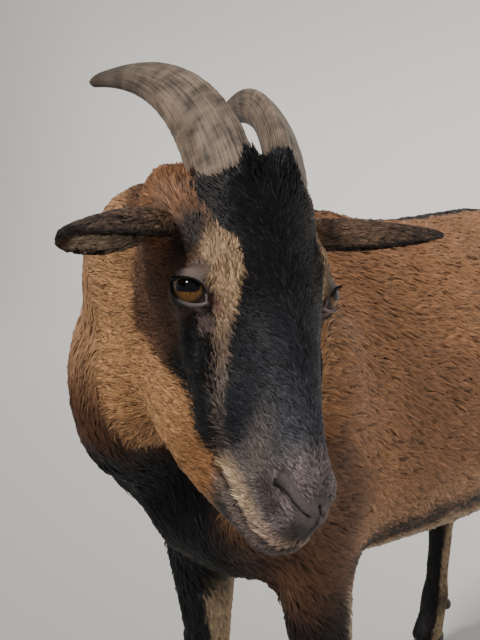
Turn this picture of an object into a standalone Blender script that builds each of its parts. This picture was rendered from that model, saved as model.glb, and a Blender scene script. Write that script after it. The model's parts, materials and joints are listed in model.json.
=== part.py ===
"""A life-size horned goat, standing square with its head turned to its left and lowered.

The flesh is lofted whole from cross-sections, fused by a voxel remesh, thinned to facets, and then
parted with thin cuts into the pieces a person would name. Horns, ears, eyes and hooves are solids of
their own, each let into a socket. Metres, +Z up; the trunk faces -Y and the goat's left is +X.
"""
import math

import bmesh
import bpy
from mathutils import Matrix, Vector

# ---------------------------------------------------------------- driving dimensions
WITHERS = 0.75            # height of the shoulder's top above the floor
FORELEG_Y = -0.215        # the forelegs stand this far ahead of the middle of the barrel
HINDLEG_Y = 0.320
GAP = 0.0003              # between pieces that touch
CUT = 0.0004              # thickness of the cuts that part the flesh
VOXEL = 0.0065            # grain of the remesh that fuses the flesh
FLESH_FACES = 3620        # triangles left in the flesh after thinning
COARSER = 0.35            # how much more the trunk is thinned than the head and feet
RING = 28                 # points round a body cross-section

HEAD_AT = Vector((0.1347, -0.3947, 0.6943))   # midway between the eyes
HEAD_TURN = 60.1          # degrees to the goat's left
HEAD_NOD = 41.0           # degrees the face slopes down
HEAD_TILT = 7.9           # degrees the crown leans to the goat's right
EYE_OUT = 0.0446          # eyeball centre from the midline
EYE_DROP = 0.0042         # and below the line that the head is measured from
EYE_RADIUS = 0.0150

HORN_BASE = Vector((0.0245, 0.062, 0.038))  # in the head's own axes
HORN_LENGTH = 0.202
HORN_DEPTH = 0.048        # across the keel at the base
HORN_WIDTH = 0.026
HORN_RISE = {"left": 12.0, "right": 14.0}    # degrees above the skull's line at the base
HORN_CURL = {"left": 70.0, "right": 65.0}   # degrees it bends down over its length
HORN_OUT = {"left": 10.0, "right": 3.0}     # degrees it leans outwards at the base
HORN_SPREAD = {"left": -4.0, "right": 22.0}  # degrees it turns outwards over its length
HORN_TWIST = 30.0         # degrees its keel faces inwards
EAR_AT = Vector((0.050, 0.062, -0.006))
EAR_LENGTH = 0.114
EAR_WIDTH = 0.064
EAR_AIM = {"left": Vector((0.93, -0.20, 0.31)), "right": Vector((0.78, -0.54, 0.36))}
CORONET = 0.040           # height of the top of the hooves

MIRROR = Matrix.Scale(-1, 4, (1, 0, 0))


def degrees(x, y, z):
    """A rotation of x about X, then y about Y, then z about Z, in degrees."""
    turn = Matrix.Rotation(math.radians(z), 4, "Z")
    return turn @ Matrix.Rotation(math.radians(y), 4, "Y") @ Matrix.Rotation(math.radians(x), 4, "X")


def head_matrix():
    """Carries the head's own axes (nose along -Y, crown along +Z, left +X) to its place."""
    turn = Matrix.Rotation(math.radians(HEAD_TURN), 4, "Z")
    nod = Matrix.Rotation(math.radians(HEAD_NOD), 4, "X")
    tilt = Matrix.Rotation(math.radians(HEAD_TILT), 4, "Y")
    return Matrix.Translation(HEAD_AT) @ turn @ nod @ tilt


# ---------------------------------------------------------------- shapes
def material(name, colour, roughness):
    made = bpy.data.materials.new(name)
    made.use_nodes = True
    shader = made.node_tree.nodes["Principled BSDF"]
    shader.inputs["Base Color"].default_value = (*colour, 1)
    shader.inputs["Roughness"].default_value = roughness
    return made


def add_object(name, bm, place=None):
    """A bmesh as an object, its faces turned outwards."""
    if place is not None:
        bm.transform(place)
    bmesh.ops.recalc_face_normals(bm, faces=bm.faces)
    if bm.calc_volume(signed=True) < 0:
        bmesh.ops.reverse_faces(bm, faces=bm.faces)
    mesh = bpy.data.meshes.new(name)
    bm.to_mesh(mesh)
    bm.free()
    ob = bpy.data.objects.new(name, mesh)
    bpy.context.scene.collection.objects.link(ob)
    return ob


def ellipse(centre, across, up, half_width, half_height, count=RING, power=2.0):
    """A ring of points, an ellipse at power 2 and squarer above it."""
    points = []
    for i in range(count):
        a = 2 * math.pi * i / count
        c, s = math.cos(a), math.sin(a)
        x = half_width * math.copysign(abs(c) ** (2 / power), c)
        z = half_height * math.copysign(abs(s) ** (2 / power), s)
        points.append(Vector(centre) + Vector(across) * x + Vector(up) * z)
    return points


def body_ring(y, half_width, top, bottom, widest, roof=2.0, keel=2.0):
    """An upright cross-section at y: its crown and its underside are curves of their own power."""
    points = []
    for i in range(RING):
        a = 2 * math.pi * i / RING
        c, s = math.cos(a), math.sin(a)
        rise, power = (top - widest, roof) if s >= 0 else (widest - bottom, keel)
        x = half_width * math.copysign(abs(c) ** (2 / power), c)
        z = widest + rise * math.copysign(abs(s) ** (2 / power), s)
        points.append(Vector((x, y, z)))
    return points


def loft(name, rings, place=None):
    """One closed skin through rings of equal count, with flat ends."""
    bm = bmesh.new()
    edges = []
    for ring in rings:
        verts = [bm.verts.new(p) for p in ring]
        loop = [bm.edges.new((a, b)) for a, b in zip(verts, verts[1:] + verts[:1])]
        edges.append(loop)
    for first, second in zip(edges, edges[1:]):
        bmesh.ops.bridge_loops(bm, edges=first + second)
    for end in (edges[0], edges[-1]):
        bmesh.ops.contextual_create(bm, geom=end)
    return add_object(name, bm, place)


def ball(name, centre, radii, turned=(0, 0, 0), place=None, divisions=3):
    """An egg-shaped mass."""
    bm = bmesh.new()
    shape = Matrix.Translation(centre) @ degrees(*turned) @ Matrix.Diagonal((*radii, 1))
    bmesh.ops.create_icosphere(bm, subdivisions=divisions, radius=1, matrix=shape)
    return add_object(name, bm, place)


def limb(name, stations, place=None):
    """A tapering limb. Each station is a place, a half-width along X and a half-depth."""
    rings = []
    for i, (at, half_width, half_depth) in enumerate(stations):
        before = Vector(stations[max(i - 1, 0)][0])
        after = Vector(stations[min(i + 1, len(stations) - 1)][0])
        along = (after - before).normalized()
        fore = along.cross(Vector((1, 0, 0))).normalized()
        across = fore.cross(along).normalized()
        rings.append(ellipse(at, across, fore, half_width, half_depth, 20))
    return loft(name, rings, place)


def curve_between(points, steps):
    """Points on a smooth Catmull-Rom curve through the given ones."""
    padded = [2 * points[0] - points[1], *points, 2 * points[-1] - points[-2]]
    found = []
    for i in range(1, len(padded) - 2):
        p0, p1, p2, p3 = padded[i - 1:i + 3]
        for k in range(steps):
            t = k / steps
            found.append(0.5 * (2 * p1 + (p2 - p0) * t + (2 * p0 - 5 * p1 + 4 * p2 - p3) * t * t
                                + (3 * p1 - p0 - 3 * p2 + p3) * t ** 3))
    return [*found, points[-1].copy()]


# ---------------------------------------------------------------- flesh
def make_trunk():
    """Chest, barrel and rump, narrow over the spine and widest low on the ribs."""
    top = WITHERS
    rings = [
        body_ring(-0.335, 0.040, top - 0.190, 0.475, 0.520),
        body_ring(-0.315, 0.075, top - 0.135, 0.430, 0.525),
        body_ring(-0.270, 0.102, top - 0.060, 0.402, 0.530, 1.9),
        body_ring(-0.210, 0.114, top - 0.012, 0.388, 0.525, 1.7),
        body_ring(-0.150, 0.120, top - 0.002, 0.380, 0.520, 1.7),
        body_ring(-0.070, 0.137, top - 0.018, 0.368, 0.510, 1.8),
        body_ring(0.030, 0.160, top - 0.024, 0.350, 0.500, 1.9),
        body_ring(0.130, 0.168, top - 0.020, 0.338, 0.495, 1.9),
        body_ring(0.220, 0.150, top - 0.012, 0.368, 0.505, 1.8),
        body_ring(0.300, 0.118, top - 0.012, 0.430, 0.560, 1.9),
        body_ring(0.370, 0.096, top - 0.030, 0.480, 0.590, 2.0),
        body_ring(0.420, 0.072, top - 0.062, 0.530, 0.600),
        body_ring(0.445, 0.040, top - 0.095, 0.570, 0.615),
    ]
    return [loft("trunk", rings)]


def make_neck():
    """Deep where it leaves the chest and slim behind the jaw, and bent round to the left."""
    skull = head_matrix()
    path = curve_between([
        Vector((0.0, -0.130, 0.585)), Vector((-0.016, -0.225, 0.588)), Vector((-0.046, -0.321, 0.610)),
        Vector((0.006, -0.345, 0.655)), skull @ Vector((0.0, 0.092, -0.050)), skull @ Vector((0.0, 0.040, -0.040)),
    ], 3)
    made = []
    last = len(path) - 1
    for i, at in enumerate(path):
        t = i / last
        along = (path[min(i + 1, last)] - path[max(i - 1, 0)]).normalized()
        side = Vector((1, 0, 0)).lerp(skull.to_3x3() @ Vector((1, 0, 0)), t)
        across = (side - along * side.dot(along)).normalized()
        up = across.cross(along)
        turned = Matrix((across, along, up)).transposed().to_4x4()
        half_height = 0.096 * (1 - t) ** 1.1 + 0.052
        half_width = 0.048 * (1 - t) ** 1.2 + 0.040
        bm = bmesh.new()
        bmesh.ops.create_icosphere(bm, subdivisions=3, radius=1, matrix=Matrix.Translation(at) @ turned
                                   @ Matrix.Diagonal((half_width, 0.060, half_height, 1)))
        made.append(add_object("neck", bm))
    return made


def head_ring(forward, half_width, top, bottom, widest=None, roof=2.0, keel=2.2):
    widest = (top + bottom) / 2 if widest is None else widest
    return body_ring(-forward, half_width, top, bottom, widest, roof, keel)


def make_head():
    """Skull, muzzle and jaw in the head's own axes, with brows, cheeks and lips as masses."""
    place = head_matrix()
    skull = [
        head_ring(-0.104, 0.024, 0.016, -0.050),
        head_ring(-0.092, 0.042, 0.032, -0.066),
        head_ring(-0.066, 0.050, 0.043, -0.074, -0.005),
        head_ring(-0.034, 0.050, 0.044, -0.076, -0.002, 2.3),
        head_ring(0.000, 0.044, 0.039, -0.074, -0.002, 2.3),
        head_ring(0.030, 0.0325, 0.030, -0.074, -0.008, 2.2),
        head_ring(0.060, 0.0240, 0.0205, -0.075, -0.016, 2.1),
        head_ring(0.088, 0.0190, 0.0085, -0.075, -0.026, 2.0),
        head_ring(0.112, 0.0170, -0.002, -0.074, -0.034, 2.0),
        head_ring(0.132, 0.0144, -0.010, -0.068, -0.038, 2.1),
        head_ring(0.146, 0.0122, -0.018, -0.060, -0.040, 2.1),
        head_ring(0.153, 0.0070, -0.028, -0.052, -0.040),
    ]
    jaw = [
        head_ring(-0.084, 0.034, -0.030, -0.118, -0.075, 2.0, 2.6),
        head_ring(-0.054, 0.045, -0.020, -0.132, -0.085, 2.0, 2.6),
        head_ring(-0.018, 0.0485, -0.015, -0.137, -0.090, 2.0, 2.8),
        head_ring(0.018, 0.0470, -0.020, -0.136, -0.095, 2.0, 2.8),
        head_ring(0.054, 0.0400, -0.030, -0.128, -0.095, 2.0, 2.6),
        head_ring(0.084, 0.0322, -0.036, -0.117, -0.092, 2.0, 2.4),
        head_ring(0.104, 0.0262, -0.040, -0.108, -0.086),
        head_ring(0.122, 0.0208, -0.044, -0.099, -0.079),
        head_ring(0.138, 0.0175, -0.048, -0.092, -0.074),
        head_ring(0.149, 0.0115, -0.052, -0.081, -0.066),
    ]
    made = [loft("skull", skull, place), loft("jaw", jaw, place)]
    for side in (1, -1):
        flip = place if side > 0 else place @ MIRROR
        made += [
            ball("brow", (0.0385, 0.004, 0.010), (0.0165, 0.025, 0.017), (-12, 18, 8), flip),
            ball("orbit", (0.0418, 0.000, -0.009), (0.0130, 0.023, 0.019), (0, 0, 10), flip),
            ball("cheekbone", (0.0345, -0.008, -0.032), (0.0125, 0.046, 0.018), (0, 0, 14), flip),
            ball("masseter", (0.033, 0.018, -0.078), (0.0165, 0.046, 0.044), (-20, 0, 4), flip),
            ball("nostril", (0.0058, -0.131, -0.023), (0.0095, 0.018, 0.0125), (16, 0, -12), flip),
            ball("upper_lip", (0.0070, -0.118, -0.057), (0.0105, 0.030, 0.0140), (8, 0, 0), flip),
            ball("temple", (0.038, 0.050, -0.034), (0.023, 0.050, 0.048), (10, 0, 0), flip),
            ball("jaw_angle", (0.038, 0.066, -0.082), (0.0270, 0.052, 0.060), (0, 0, 0), flip),
            ball("ruff", (0.040, 0.100, -0.085), (0.036, 0.055, 0.070), (0, 0, 0), flip),
            ball("cheek", (0.0265, -0.040, -0.052), (0.0140, 0.044, 0.028), (-14, 0, 12), flip),
            ball("poll", (0.043, 0.075, 0.001), (0.023, 0.032, 0.024), (0, 0, 0), flip),
            ball("ear_root", (0.046, 0.060, -0.008), (0.020, 0.018, 0.021), (0, 0, 0), flip),
        ]
    made.append(ball("throat", (0, 0.078, -0.086), (0.056, 0.058, 0.058), (0, 0, 0), place))
    made.append(ball("crown", (0, 0.048, 0.030), (0.038, 0.040, 0.0225), (-6, 0, 0), place))
    return made


def make_foreleg(flip):
    """Shoulder mass, forearm, knee, cannon and fetlock down to the coronet."""
    y = FORELEG_Y
    leg = limb("foreleg", [
        ((0.062, y - 0.008, 0.520), 0.046, 0.072),
        ((0.068, y - 0.010, 0.455), 0.039, 0.058),
        ((0.070, y - 0.006, 0.410), 0.033, 0.045),
        ((0.072, y + 0.002, 0.350), 0.027, 0.034),
        ((0.073, y + 0.004, 0.295), 0.0225, 0.026),
        ((0.073, y + 0.003, 0.262), 0.0255, 0.0275),
        ((0.073, y + 0.003, 0.240), 0.0250, 0.0265),
        ((0.073, y + 0.006, 0.212), 0.0190, 0.0205),
        ((0.073, y + 0.008, 0.160), 0.0160, 0.0185),
        ((0.073, y + 0.009, 0.115), 0.0175, 0.0205),
        ((0.073, y + 0.009, 0.092), 0.0215, 0.0255),
        ((0.073, y + 0.001, 0.068), 0.0205, 0.0225),
        ((0.073, y - 0.013, CORONET), 0.0250, 0.0290),
        ((0.073, y - 0.016, CORONET - 0.014), 0.0250, 0.0290),
    ], flip)
    shoulder = ball("shoulder", (0.070, y - 0.020, 0.560), (0.050, 0.078, 0.135), (14, -6, 0), flip)
    point = ball("shoulder_point", (0.078, y - 0.078, 0.520), (0.036, 0.040, 0.052), (0, 0, 0), flip)
    elbow = ball("elbow", (0.078, y + 0.024, 0.440), (0.024, 0.028, 0.036), (0, 0, 0), flip)
    return [leg, shoulder, point, elbow]


def make_hindleg(flip):
    """Thigh, stifle, gaskin, hock, cannon and fetlock down to the coronet."""
    y = HINDLEG_Y
    leg = limb("hindleg", [
        ((0.068, y - 0.010, 0.600), 0.052, 0.100),
        ((0.074, y - 0.024, 0.520), 0.050, 0.095),
        ((0.078, y - 0.030, 0.450), 0.042, 0.072),
        ((0.077, y - 0.002, 0.390), 0.034, 0.052),
        ((0.075, y + 0.030, 0.340), 0.026, 0.038),
        ((0.072, y + 0.052, 0.302), 0.0205, 0.032),
        ((0.070, y + 0.058, 0.270), 0.0225, 0.033),
        ((0.070, y + 0.054, 0.240), 0.0205, 0.027),
        ((0.070, y + 0.048, 0.180), 0.0170, 0.0205),
        ((0.070, y + 0.042, 0.125), 0.0180, 0.0215),
        ((0.070, y + 0.038, 0.097), 0.0220, 0.0265),
        ((0.070, y + 0.028, 0.070), 0.0205, 0.0230),
        ((0.070, y + 0.013, CORONET), 0.0245, 0.0285),
        ((0.070, y + 0.010, CORONET - 0.014), 0.0245, 0.0285),
    ], flip)
    thigh = ball("thigh", (0.076, y + 0.004, 0.560), (0.058, 0.098, 0.135), (-10, -4, 0), flip)
    stifle = ball("stifle", (0.094, y - 0.075, 0.455), (0.034, 0.044, 0.056), (-20, 0, 0), flip)
    hock = ball("point_of_hock", (0.070, y + 0.086, 0.296), (0.013, 0.015, 0.026), (18, 0, 0), flip)
    return [leg, thigh, stifle, hock]


def make_tail():
    """Short and carried up, broad across and flat beneath."""
    root = Vector((0, 0.425, WITHERS - 0.075))
    line = curve_between([root, root + Vector((0, 0.040, 0.018)), root + Vector((0.004, 0.075, 0.052)),
                          root + Vector((0.008, 0.088, 0.098))], 3)
    rings = []
    last = len(line) - 1
    for i, at in enumerate(line):
        along = (line[min(i + 1, last)] - line[max(i - 1, 0)]).normalized()
        across = Vector((1, 0, 0))
        up = across.cross(along).normalized()
        swell = math.sin(math.pi * (0.16 + 0.80 * i / last))
        rings.append(ellipse(at, across, up, 0.011 + 0.021 * swell, 0.008 + 0.013 * swell, 16))
    return [loft("tail", rings)]


def make_udder():
    """A small dry udder with two teats, tucked between the thighs."""
    made = [ball("udder", (0, 0.222, 0.392), (0.050, 0.056, 0.050), (-12, 0, 0))]
    for side in (1, -1):
        made.append(ball("teat", (side * 0.024, 0.214, 0.345), (0.0095, 0.0095, 0.024), (0, side * -10, 0)))
    return made


def fuse(name, pieces, voxel, faces, keep_fine):
    """Joins the pieces into one skin, smooths it, and thins it least where keep_fine says so."""
    bm = bmesh.new()
    for piece in pieces:
        bm.from_mesh(piece.data)
        bpy.data.objects.remove(piece)
    whole = add_object(name, bm)
    remesh = whole.modifiers.new("Fuse", "REMESH")
    remesh.mode = "VOXEL"
    remesh.voxel_size = voxel
    smooth = whole.modifiers.new("Blend", "SMOOTH")
    smooth.iterations = 8
    apply_modifiers(whole)
    group = whole.vertex_groups.new(name="coarse")
    for vertex in whole.data.vertices:
        group.add([vertex.index], 1 - keep_fine(vertex.co), "REPLACE")
    count = sum(len(p.vertices) - 2 for p in whole.data.polygons)
    thin = whole.modifiers.new("Thin", "DECIMATE")
    thin.ratio = faces / count
    thin.vertex_group = group.name
    thin.vertex_group_factor = COARSER
    thin.use_collapse_triangulate = True
    apply_modifiers(whole)
    whole.vertex_groups.clear()
    return whole


def apply_modifiers(ob):
    graph = bpy.context.evaluated_depsgraph_get()
    mesh = bpy.data.meshes.new_from_object(ob.evaluated_get(graph))
    ob.modifiers.clear()
    ob.data = mesh


# ---------------------------------------------------------------- cutting
def combine(ob, operation, other):
    """A Boolean on ob with other, applied."""
    bpy.context.view_layer.update()
    cut = ob.modifiers.new("Cut", "BOOLEAN")
    cut.operation = operation
    cut.object = other
    cut.solver = "EXACT"
    apply_modifiers(ob)


def swelled(ob, by):
    """A copy of ob with its skin moved out by that much."""
    mesh = ob.data.copy()
    normals = [v.normal.copy() for v in mesh.vertices]
    for vertex, normal in zip(mesh.vertices, normals):
        vertex.co += normal * by
    copy = bpy.data.objects.new(ob.name + "_swelled", mesh)
    bpy.context.scene.collection.objects.link(copy)
    return copy


def socket(host, piece, gap):
    """Cuts piece's own shape, and a hair more, out of host."""
    cutter = swelled(piece, gap)
    combine(host, "DIFFERENCE", cutter)
    bpy.data.objects.remove(cutter)


def thin_cuts(host, cuts):
    """Parts host with thin discs, each a centre, a normal and a radius."""
    for centre, normal, radius in cuts:
        bm = bmesh.new()
        spin = Vector(normal).to_track_quat("Z", "Y").to_matrix().to_4x4()
        bmesh.ops.create_cone(bm, cap_ends=True, segments=24, radius1=radius, radius2=radius,
                              depth=CUT, matrix=Matrix.Translation(centre) @ spin)
        cutter = add_object("cutter", bm)
        combine(host, "DIFFERENCE", cutter)
        bpy.data.objects.remove(cutter)


def loose_parts(host):
    """host's separate bodies as objects of their own."""
    bm = bmesh.new()
    bm.from_mesh(host.data)
    parts = []
    left = set(bm.verts)
    while left:
        front = [left.pop()]
        body = set(front)
        while front:
            for edge in front.pop().link_edges:
                for vert in edge.verts:
                    if vert in left:
                        left.discard(vert)
                        body.add(vert)
                        front.append(vert)
        part = bmesh.new()
        made = {vert: part.verts.new(vert.co) for vert in body}
        for face in {face for vert in body for face in vert.link_faces}:
            part.faces.new([made[vert] for vert in face.verts])
        parts.append(part)
    bm.free()
    bpy.data.objects.remove(host)
    return parts


# ---------------------------------------------------------------- horns, ears, eyes, hooves
def make_horn(name, side, flip):
    """Rises from the crown and sweeps back, down and outwards, with a keel along its front."""
    steps, sides = 18, 12
    buried = 0.014
    at = HORN_BASE.copy()
    step = HORN_LENGTH / steps
    twist = math.radians(HORN_TWIST)
    rings = []
    for i in range(-1, steps + 1):
        t = max(0, i) / steps
        rise = math.radians(HORN_RISE[side] - HORN_CURL[side] * t)
        out = math.radians(HORN_OUT[side] + HORN_SPREAD[side] * t * (0.6 + 0.4 * t))
        along = Vector((math.sin(out), math.cos(rise) * math.cos(out), math.sin(rise) * math.cos(out)))
        fore = Vector((0, -math.sin(rise), math.cos(rise)))
        across = along.cross(fore).normalized()
        fore = across.cross(along).normalized()
        keel_way = fore * math.cos(twist) - Vector((1, 0, 0)) * math.sin(twist)
        keel_way = (keel_way - along * keel_way.dot(along)).normalized()
        flat_way = keel_way.cross(along).normalized()
        shrink = (1 - 0.76 * t ** 1.4) * (1 - 0.75 * max(0.0, (t - 0.955) / 0.045) ** 2)
        ridge = 1 + 0.016 * math.cos(2 * math.pi * t * 8) * (1 - t)
        ring = []
        for k in range(sides):
            a = 2 * math.pi * k / sides
            front = max(0.0, math.cos(a))
            depth = HORN_DEPTH / 2 * math.cos(a) * (1 + 0.10 * front ** 6)
            width = HORN_WIDTH / 2 * math.sin(a) * (1.10 - 0.34 * front)
            ring.append(at + (keel_way * depth + flat_way * width) * shrink * ridge)
        if i < 0:
            ring = [point - along * buried for point in ring]
        else:
            at = at + along * step
        rings.append(ring)
    return loft(name, rings, head_matrix() @ flip)


def ear_axes(side):
    """The ear's own axes in the head's: x to its tip, z out of its back."""
    along = EAR_AIM[side].normalized()
    back = Vector((-0.06, 0.72, 0.69)) if side == "left" else Vector((-0.34, 0.93, 0.16))
    back = (back - along * back.dot(along)).normalized()
    return Matrix((along, back.cross(along), back)).transposed().to_4x4()


def make_ear(name, side, flip):
    """A leaf rolled into a trough, its mouth turned down and forward."""
    steps, around = 10, 8
    wall = 0.0048
    rings = []
    for i in range(steps + 1):
        t = i / steps
        half = EAR_WIDTH / 2 * (math.sin(math.pi * (0.22 + 0.765 * t)) ** 0.62)
        roll = math.radians(112 - 62 * t)
        radius = half / roll * 1.15
        thick = wall * (1.15 - 0.35 * t)
        outer, inner = [], []
        for k in range(around):
            a = roll * (2 * k / (around - 1) - 1)
            lean = 0.10 * half * t
            edge = 1 - 0.45 * abs(2 * k / (around - 1) - 1) ** 3
            for row, r in ((outer, radius), (inner, radius - thick * edge)):
                row.append(Vector((EAR_LENGTH * t, math.sin(a) * r + lean,
                                   math.cos(a) * r - radius * (1 + math.cos(roll)) / 2)))
        rings.append(outer + inner[::-1])
    return loft(name, rings, head_matrix() @ flip @ Matrix.Translation(EAR_AT) @ ear_axes(side))


def make_eye(name, flip):
    bm = bmesh.new()
    bmesh.ops.create_uvsphere(bm, u_segments=14, v_segments=9, radius=EYE_RADIUS)
    return add_object(name, bm, head_matrix() @ flip @ Matrix.Translation((EYE_OUT, 0, -EYE_DROP)))


def make_claw(name, x, y, length, inner):
    """One claw of a cloven hoof: flat on the floor and on its inner side, pointed at the toe."""
    facing = -1 if inner else 1
    rings = []
    for z, share, lean in ((0.0, 1.0, 0.0), (0.005, 1.01, 0.001), (0.022, 0.90, 0.006), (CORONET - GAP, 0.80, 0.012)):
        ring = []
        for i in range(12):
            a = 2 * math.pi * i / 12
            toe = max(0.0, -math.sin(a))
            across = math.cos(a) * 0.0125 * (0.72 + 0.28 * share) * (0.62 if math.cos(a) < 0 else 1.0)
            across = across * (1 - 0.40 * toe ** 2) + 0.0105
            ring.append(Vector((x + facing * across, y + lean + math.sin(a) * length / 2 * share, z)))
        rings.append(ring)
    return loft(name, rings)


def make_dewclaw(name, x, y, z):
    return ball(name, (x, y, z), (0.0065, 0.0085, 0.0115), (35, 0, 0), divisions=2)


# ---------------------------------------------------------------- the goat
def body_cuts():
    """Where the flesh parts: centre, normal and radius of each thin disc."""
    cuts = [
        (Vector((-0.020, -0.262, 0.585)), Vector((-0.15, -0.86, 0.42)), 0.200),
        (Vector((0.0, -0.060, 0.550)), Vector((0, 1, 0)), 0.280),
        (Vector((0.0, 0.190, 0.545)), Vector((0, 1, 0)), 0.280),
        (Vector((0.0, 0.456, WITHERS - 0.060)), Vector((0, 0.9, 0.4)), 0.042),
    ]
    for side in (1, -1):
        cuts += [
            (Vector((side * 0.071, FORELEG_Y + 0.002, 0.366)), Vector((0, 0, 1)), 0.058),
            (Vector((side * 0.073, FORELEG_Y + 0.006, 0.226)), Vector((0, 0, 1)), 0.045),
            (Vector((side * 0.074, HINDLEG_Y + 0.020, 0.350)), Vector((0, 0, 1)), 0.064),
            (Vector((side * 0.070, HINDLEG_Y + 0.056, 0.238)), Vector((0, 0.1, 1)), 0.048),
        ]
    return cuts


def flesh_names():
    """Each piece of flesh and a point near its middle."""
    skull = head_matrix()
    found = {
        "head": skull @ Vector((0, 0, -0.05)),
        "neck": Vector((-0.030, -0.320, 0.610)),
        "chest": Vector((0, -0.160, 0.570)),
        "barrel": Vector((0, 0.070, 0.540)),
        "hindquarters": Vector((0, 0.300, 0.570)),
        "tail": Vector((0, 0.490, WITHERS - 0.035)),
    }
    for side, x in (("left", 1), ("right", -1)):
        found["forearm_" + side] = Vector((x * 0.072, FORELEG_Y, 0.295))
        found["forecannon_" + side] = Vector((x * 0.073, FORELEG_Y + 0.005, 0.130))
        found["gaskin_" + side] = Vector((x * 0.072, HINDLEG_Y + 0.040, 0.305))
        found["hindcannon_" + side] = Vector((x * 0.070, HINDLEG_Y + 0.045, 0.140))
    return found


def centroid(part):
    return sum((v.co for v in part.verts), Vector()) / len(part.verts)


def part_flesh(flesh):
    """Cuts the flesh apart and names its pieces by where they lie."""
    skull = head_matrix()
    thin_cuts(flesh, body_cuts())
    parts = loose_parts(flesh)
    parts.sort(key=lambda part: (centroid(part) - skull @ Vector((0, 0.04, -0.06))).length)
    front = add_object("head_and_neck", parts.pop(0))
    thin_cuts(front, [(skull @ Vector((0, 0.090, -0.085)), skull.to_3x3() @ Vector((0, 0.66, -0.75)), 0.250)])
    parts += loose_parts(front)
    names = flesh_names()
    bodies = {}
    for part in parts:
        volume = abs(part.calc_volume())
        middle = centroid(part)
        name = min(names, key=lambda n: (names[n] - middle).length)
        if name in bodies and bodies[name][0] > volume:
            part.free()
            continue
        if name in bodies:
            bodies[name][1].free()
        bodies[name] = (volume, part)
    return [add_object(name, part) for name, (volume, part) in bodies.items()]


def flat_feet(flesh):
    """Trims the legs level at the top of the hooves."""
    bm = bmesh.new()
    bmesh.ops.create_cube(bm, size=1, matrix=Matrix.Translation((0, 0, CORONET - 0.05)) @ Matrix.Diagonal((1, 2, 0.1, 1)))
    floor = add_object("floor_cutter", bm)
    combine(flesh, "DIFFERENCE", floor)
    bpy.data.objects.remove(floor)


def main():
    for ob in list(bpy.data.objects):
        bpy.data.objects.remove(ob)
    flips = {"left": Matrix.Identity(4), "right": MIRROR}

    pieces = make_trunk() + make_neck() + make_head() + make_tail() + make_udder()
    for flip in flips.values():
        pieces += make_foreleg(flip) + make_hindleg(flip)
    reach = head_matrix() @ Vector((0, -0.03, -0.03))

    def keep_fine(point):
        near = 1 - min(1.0, max(0.0, (point - reach).length - 0.11) / 0.12)
        low = 1 - min(1.0, max(0.0, point.z - 0.14) / 0.15)
        return 0.85 * max(near, 0.5 * low)

    flesh = fuse("flesh", pieces, VOXEL, FLESH_FACES, keep_fine)
    flat_feet(flesh)

    hard = {"horn": [], "ear": [], "eye": [], "hoof": []}
    for side, flip in flips.items():
        x = 1 if side == "left" else -1
        hard["eye"].append(make_eye("eye_" + side, flip))
        hard["horn"].append(make_horn("horn_" + side, side, flip))
        hard["ear"].append(make_ear("ear_" + side, side, flip))
        for leg, across, y, length, heel in (("fore", 0.073, FORELEG_Y - 0.016, 0.060, 0.036),
                                             ("hind", 0.070, HINDLEG_Y + 0.010, 0.056, 0.061)):
            for place, inner in (("outer", x < 0), ("inner", x > 0)):
                name = "{}hoof_{}_{}".format(leg, side, place)
                hard["hoof"].append(make_claw(name, x * across, y, length, inner))
            for place, step in (("outer", 1), ("inner", -1)):
                back = (FORELEG_Y if leg == "fore" else HINDLEG_Y) + heel
                name = "{}_dewclaw_{}_{}".format(leg, side, place)
                hard["hoof"].append(make_dewclaw(name, x * across + x * step * 0.0115, back, 0.080))
    for kind in ("eye", "horn", "ear"):
        for piece in hard[kind]:
            socket(flesh, piece, 2.5 * GAP if kind == "ear" else GAP)
    for piece in hard["hoof"]:
        if "dewclaw" in piece.name:
            socket(flesh, piece, GAP)
    coat = part_flesh(flesh)

    slots = {
        "coat": (material("coat", (0.30, 0.17, 0.09), 0.9), coat + hard["ear"]),
        "horn": (material("horn", (0.22, 0.17, 0.13), 0.55), hard["horn"]),
        "hoof": (material("hoof", (0.05, 0.045, 0.04), 0.6), hard["hoof"]),
        "eye": (material("eye", (0.30, 0.18, 0.06), 0.1), hard["eye"]),
    }
    for slot, members in slots.values():
        for ob in members:
            ob.data.materials.clear()
            ob.data.materials.append(slot)
    centre_on_floor()


def centre_on_floor():
    """Puts the origin under the middle of the whole goat, on the floor."""
    meshes = [ob for ob in bpy.data.objects if ob.type == "MESH"]
    points = [v.co for ob in meshes for v in ob.data.vertices]
    low = Vector([min(p[i] for p in points) for i in range(3)])
    high = Vector([max(p[i] for p in points) for i in range(3)])
    shift = Vector((-(low.x + high.x) / 2, -(low.y + high.y) / 2, -low.z))
    for ob in meshes:
        ob.data.transform(Matrix.Translation(shift))
        ob.data.update()


if __name__ == "__main__":
    main()
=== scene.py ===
"""A life-size chestnut goat with swept-back horns, standing with its head turned to its left.

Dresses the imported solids: one skin in place of the flesh, a coat of solid tufts that follow the
lie of the hair, and finer eyes, horns and hooves. Lengths are in metres unless a name says
otherwise, angles in degrees, and colours are linear.
"""

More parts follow.
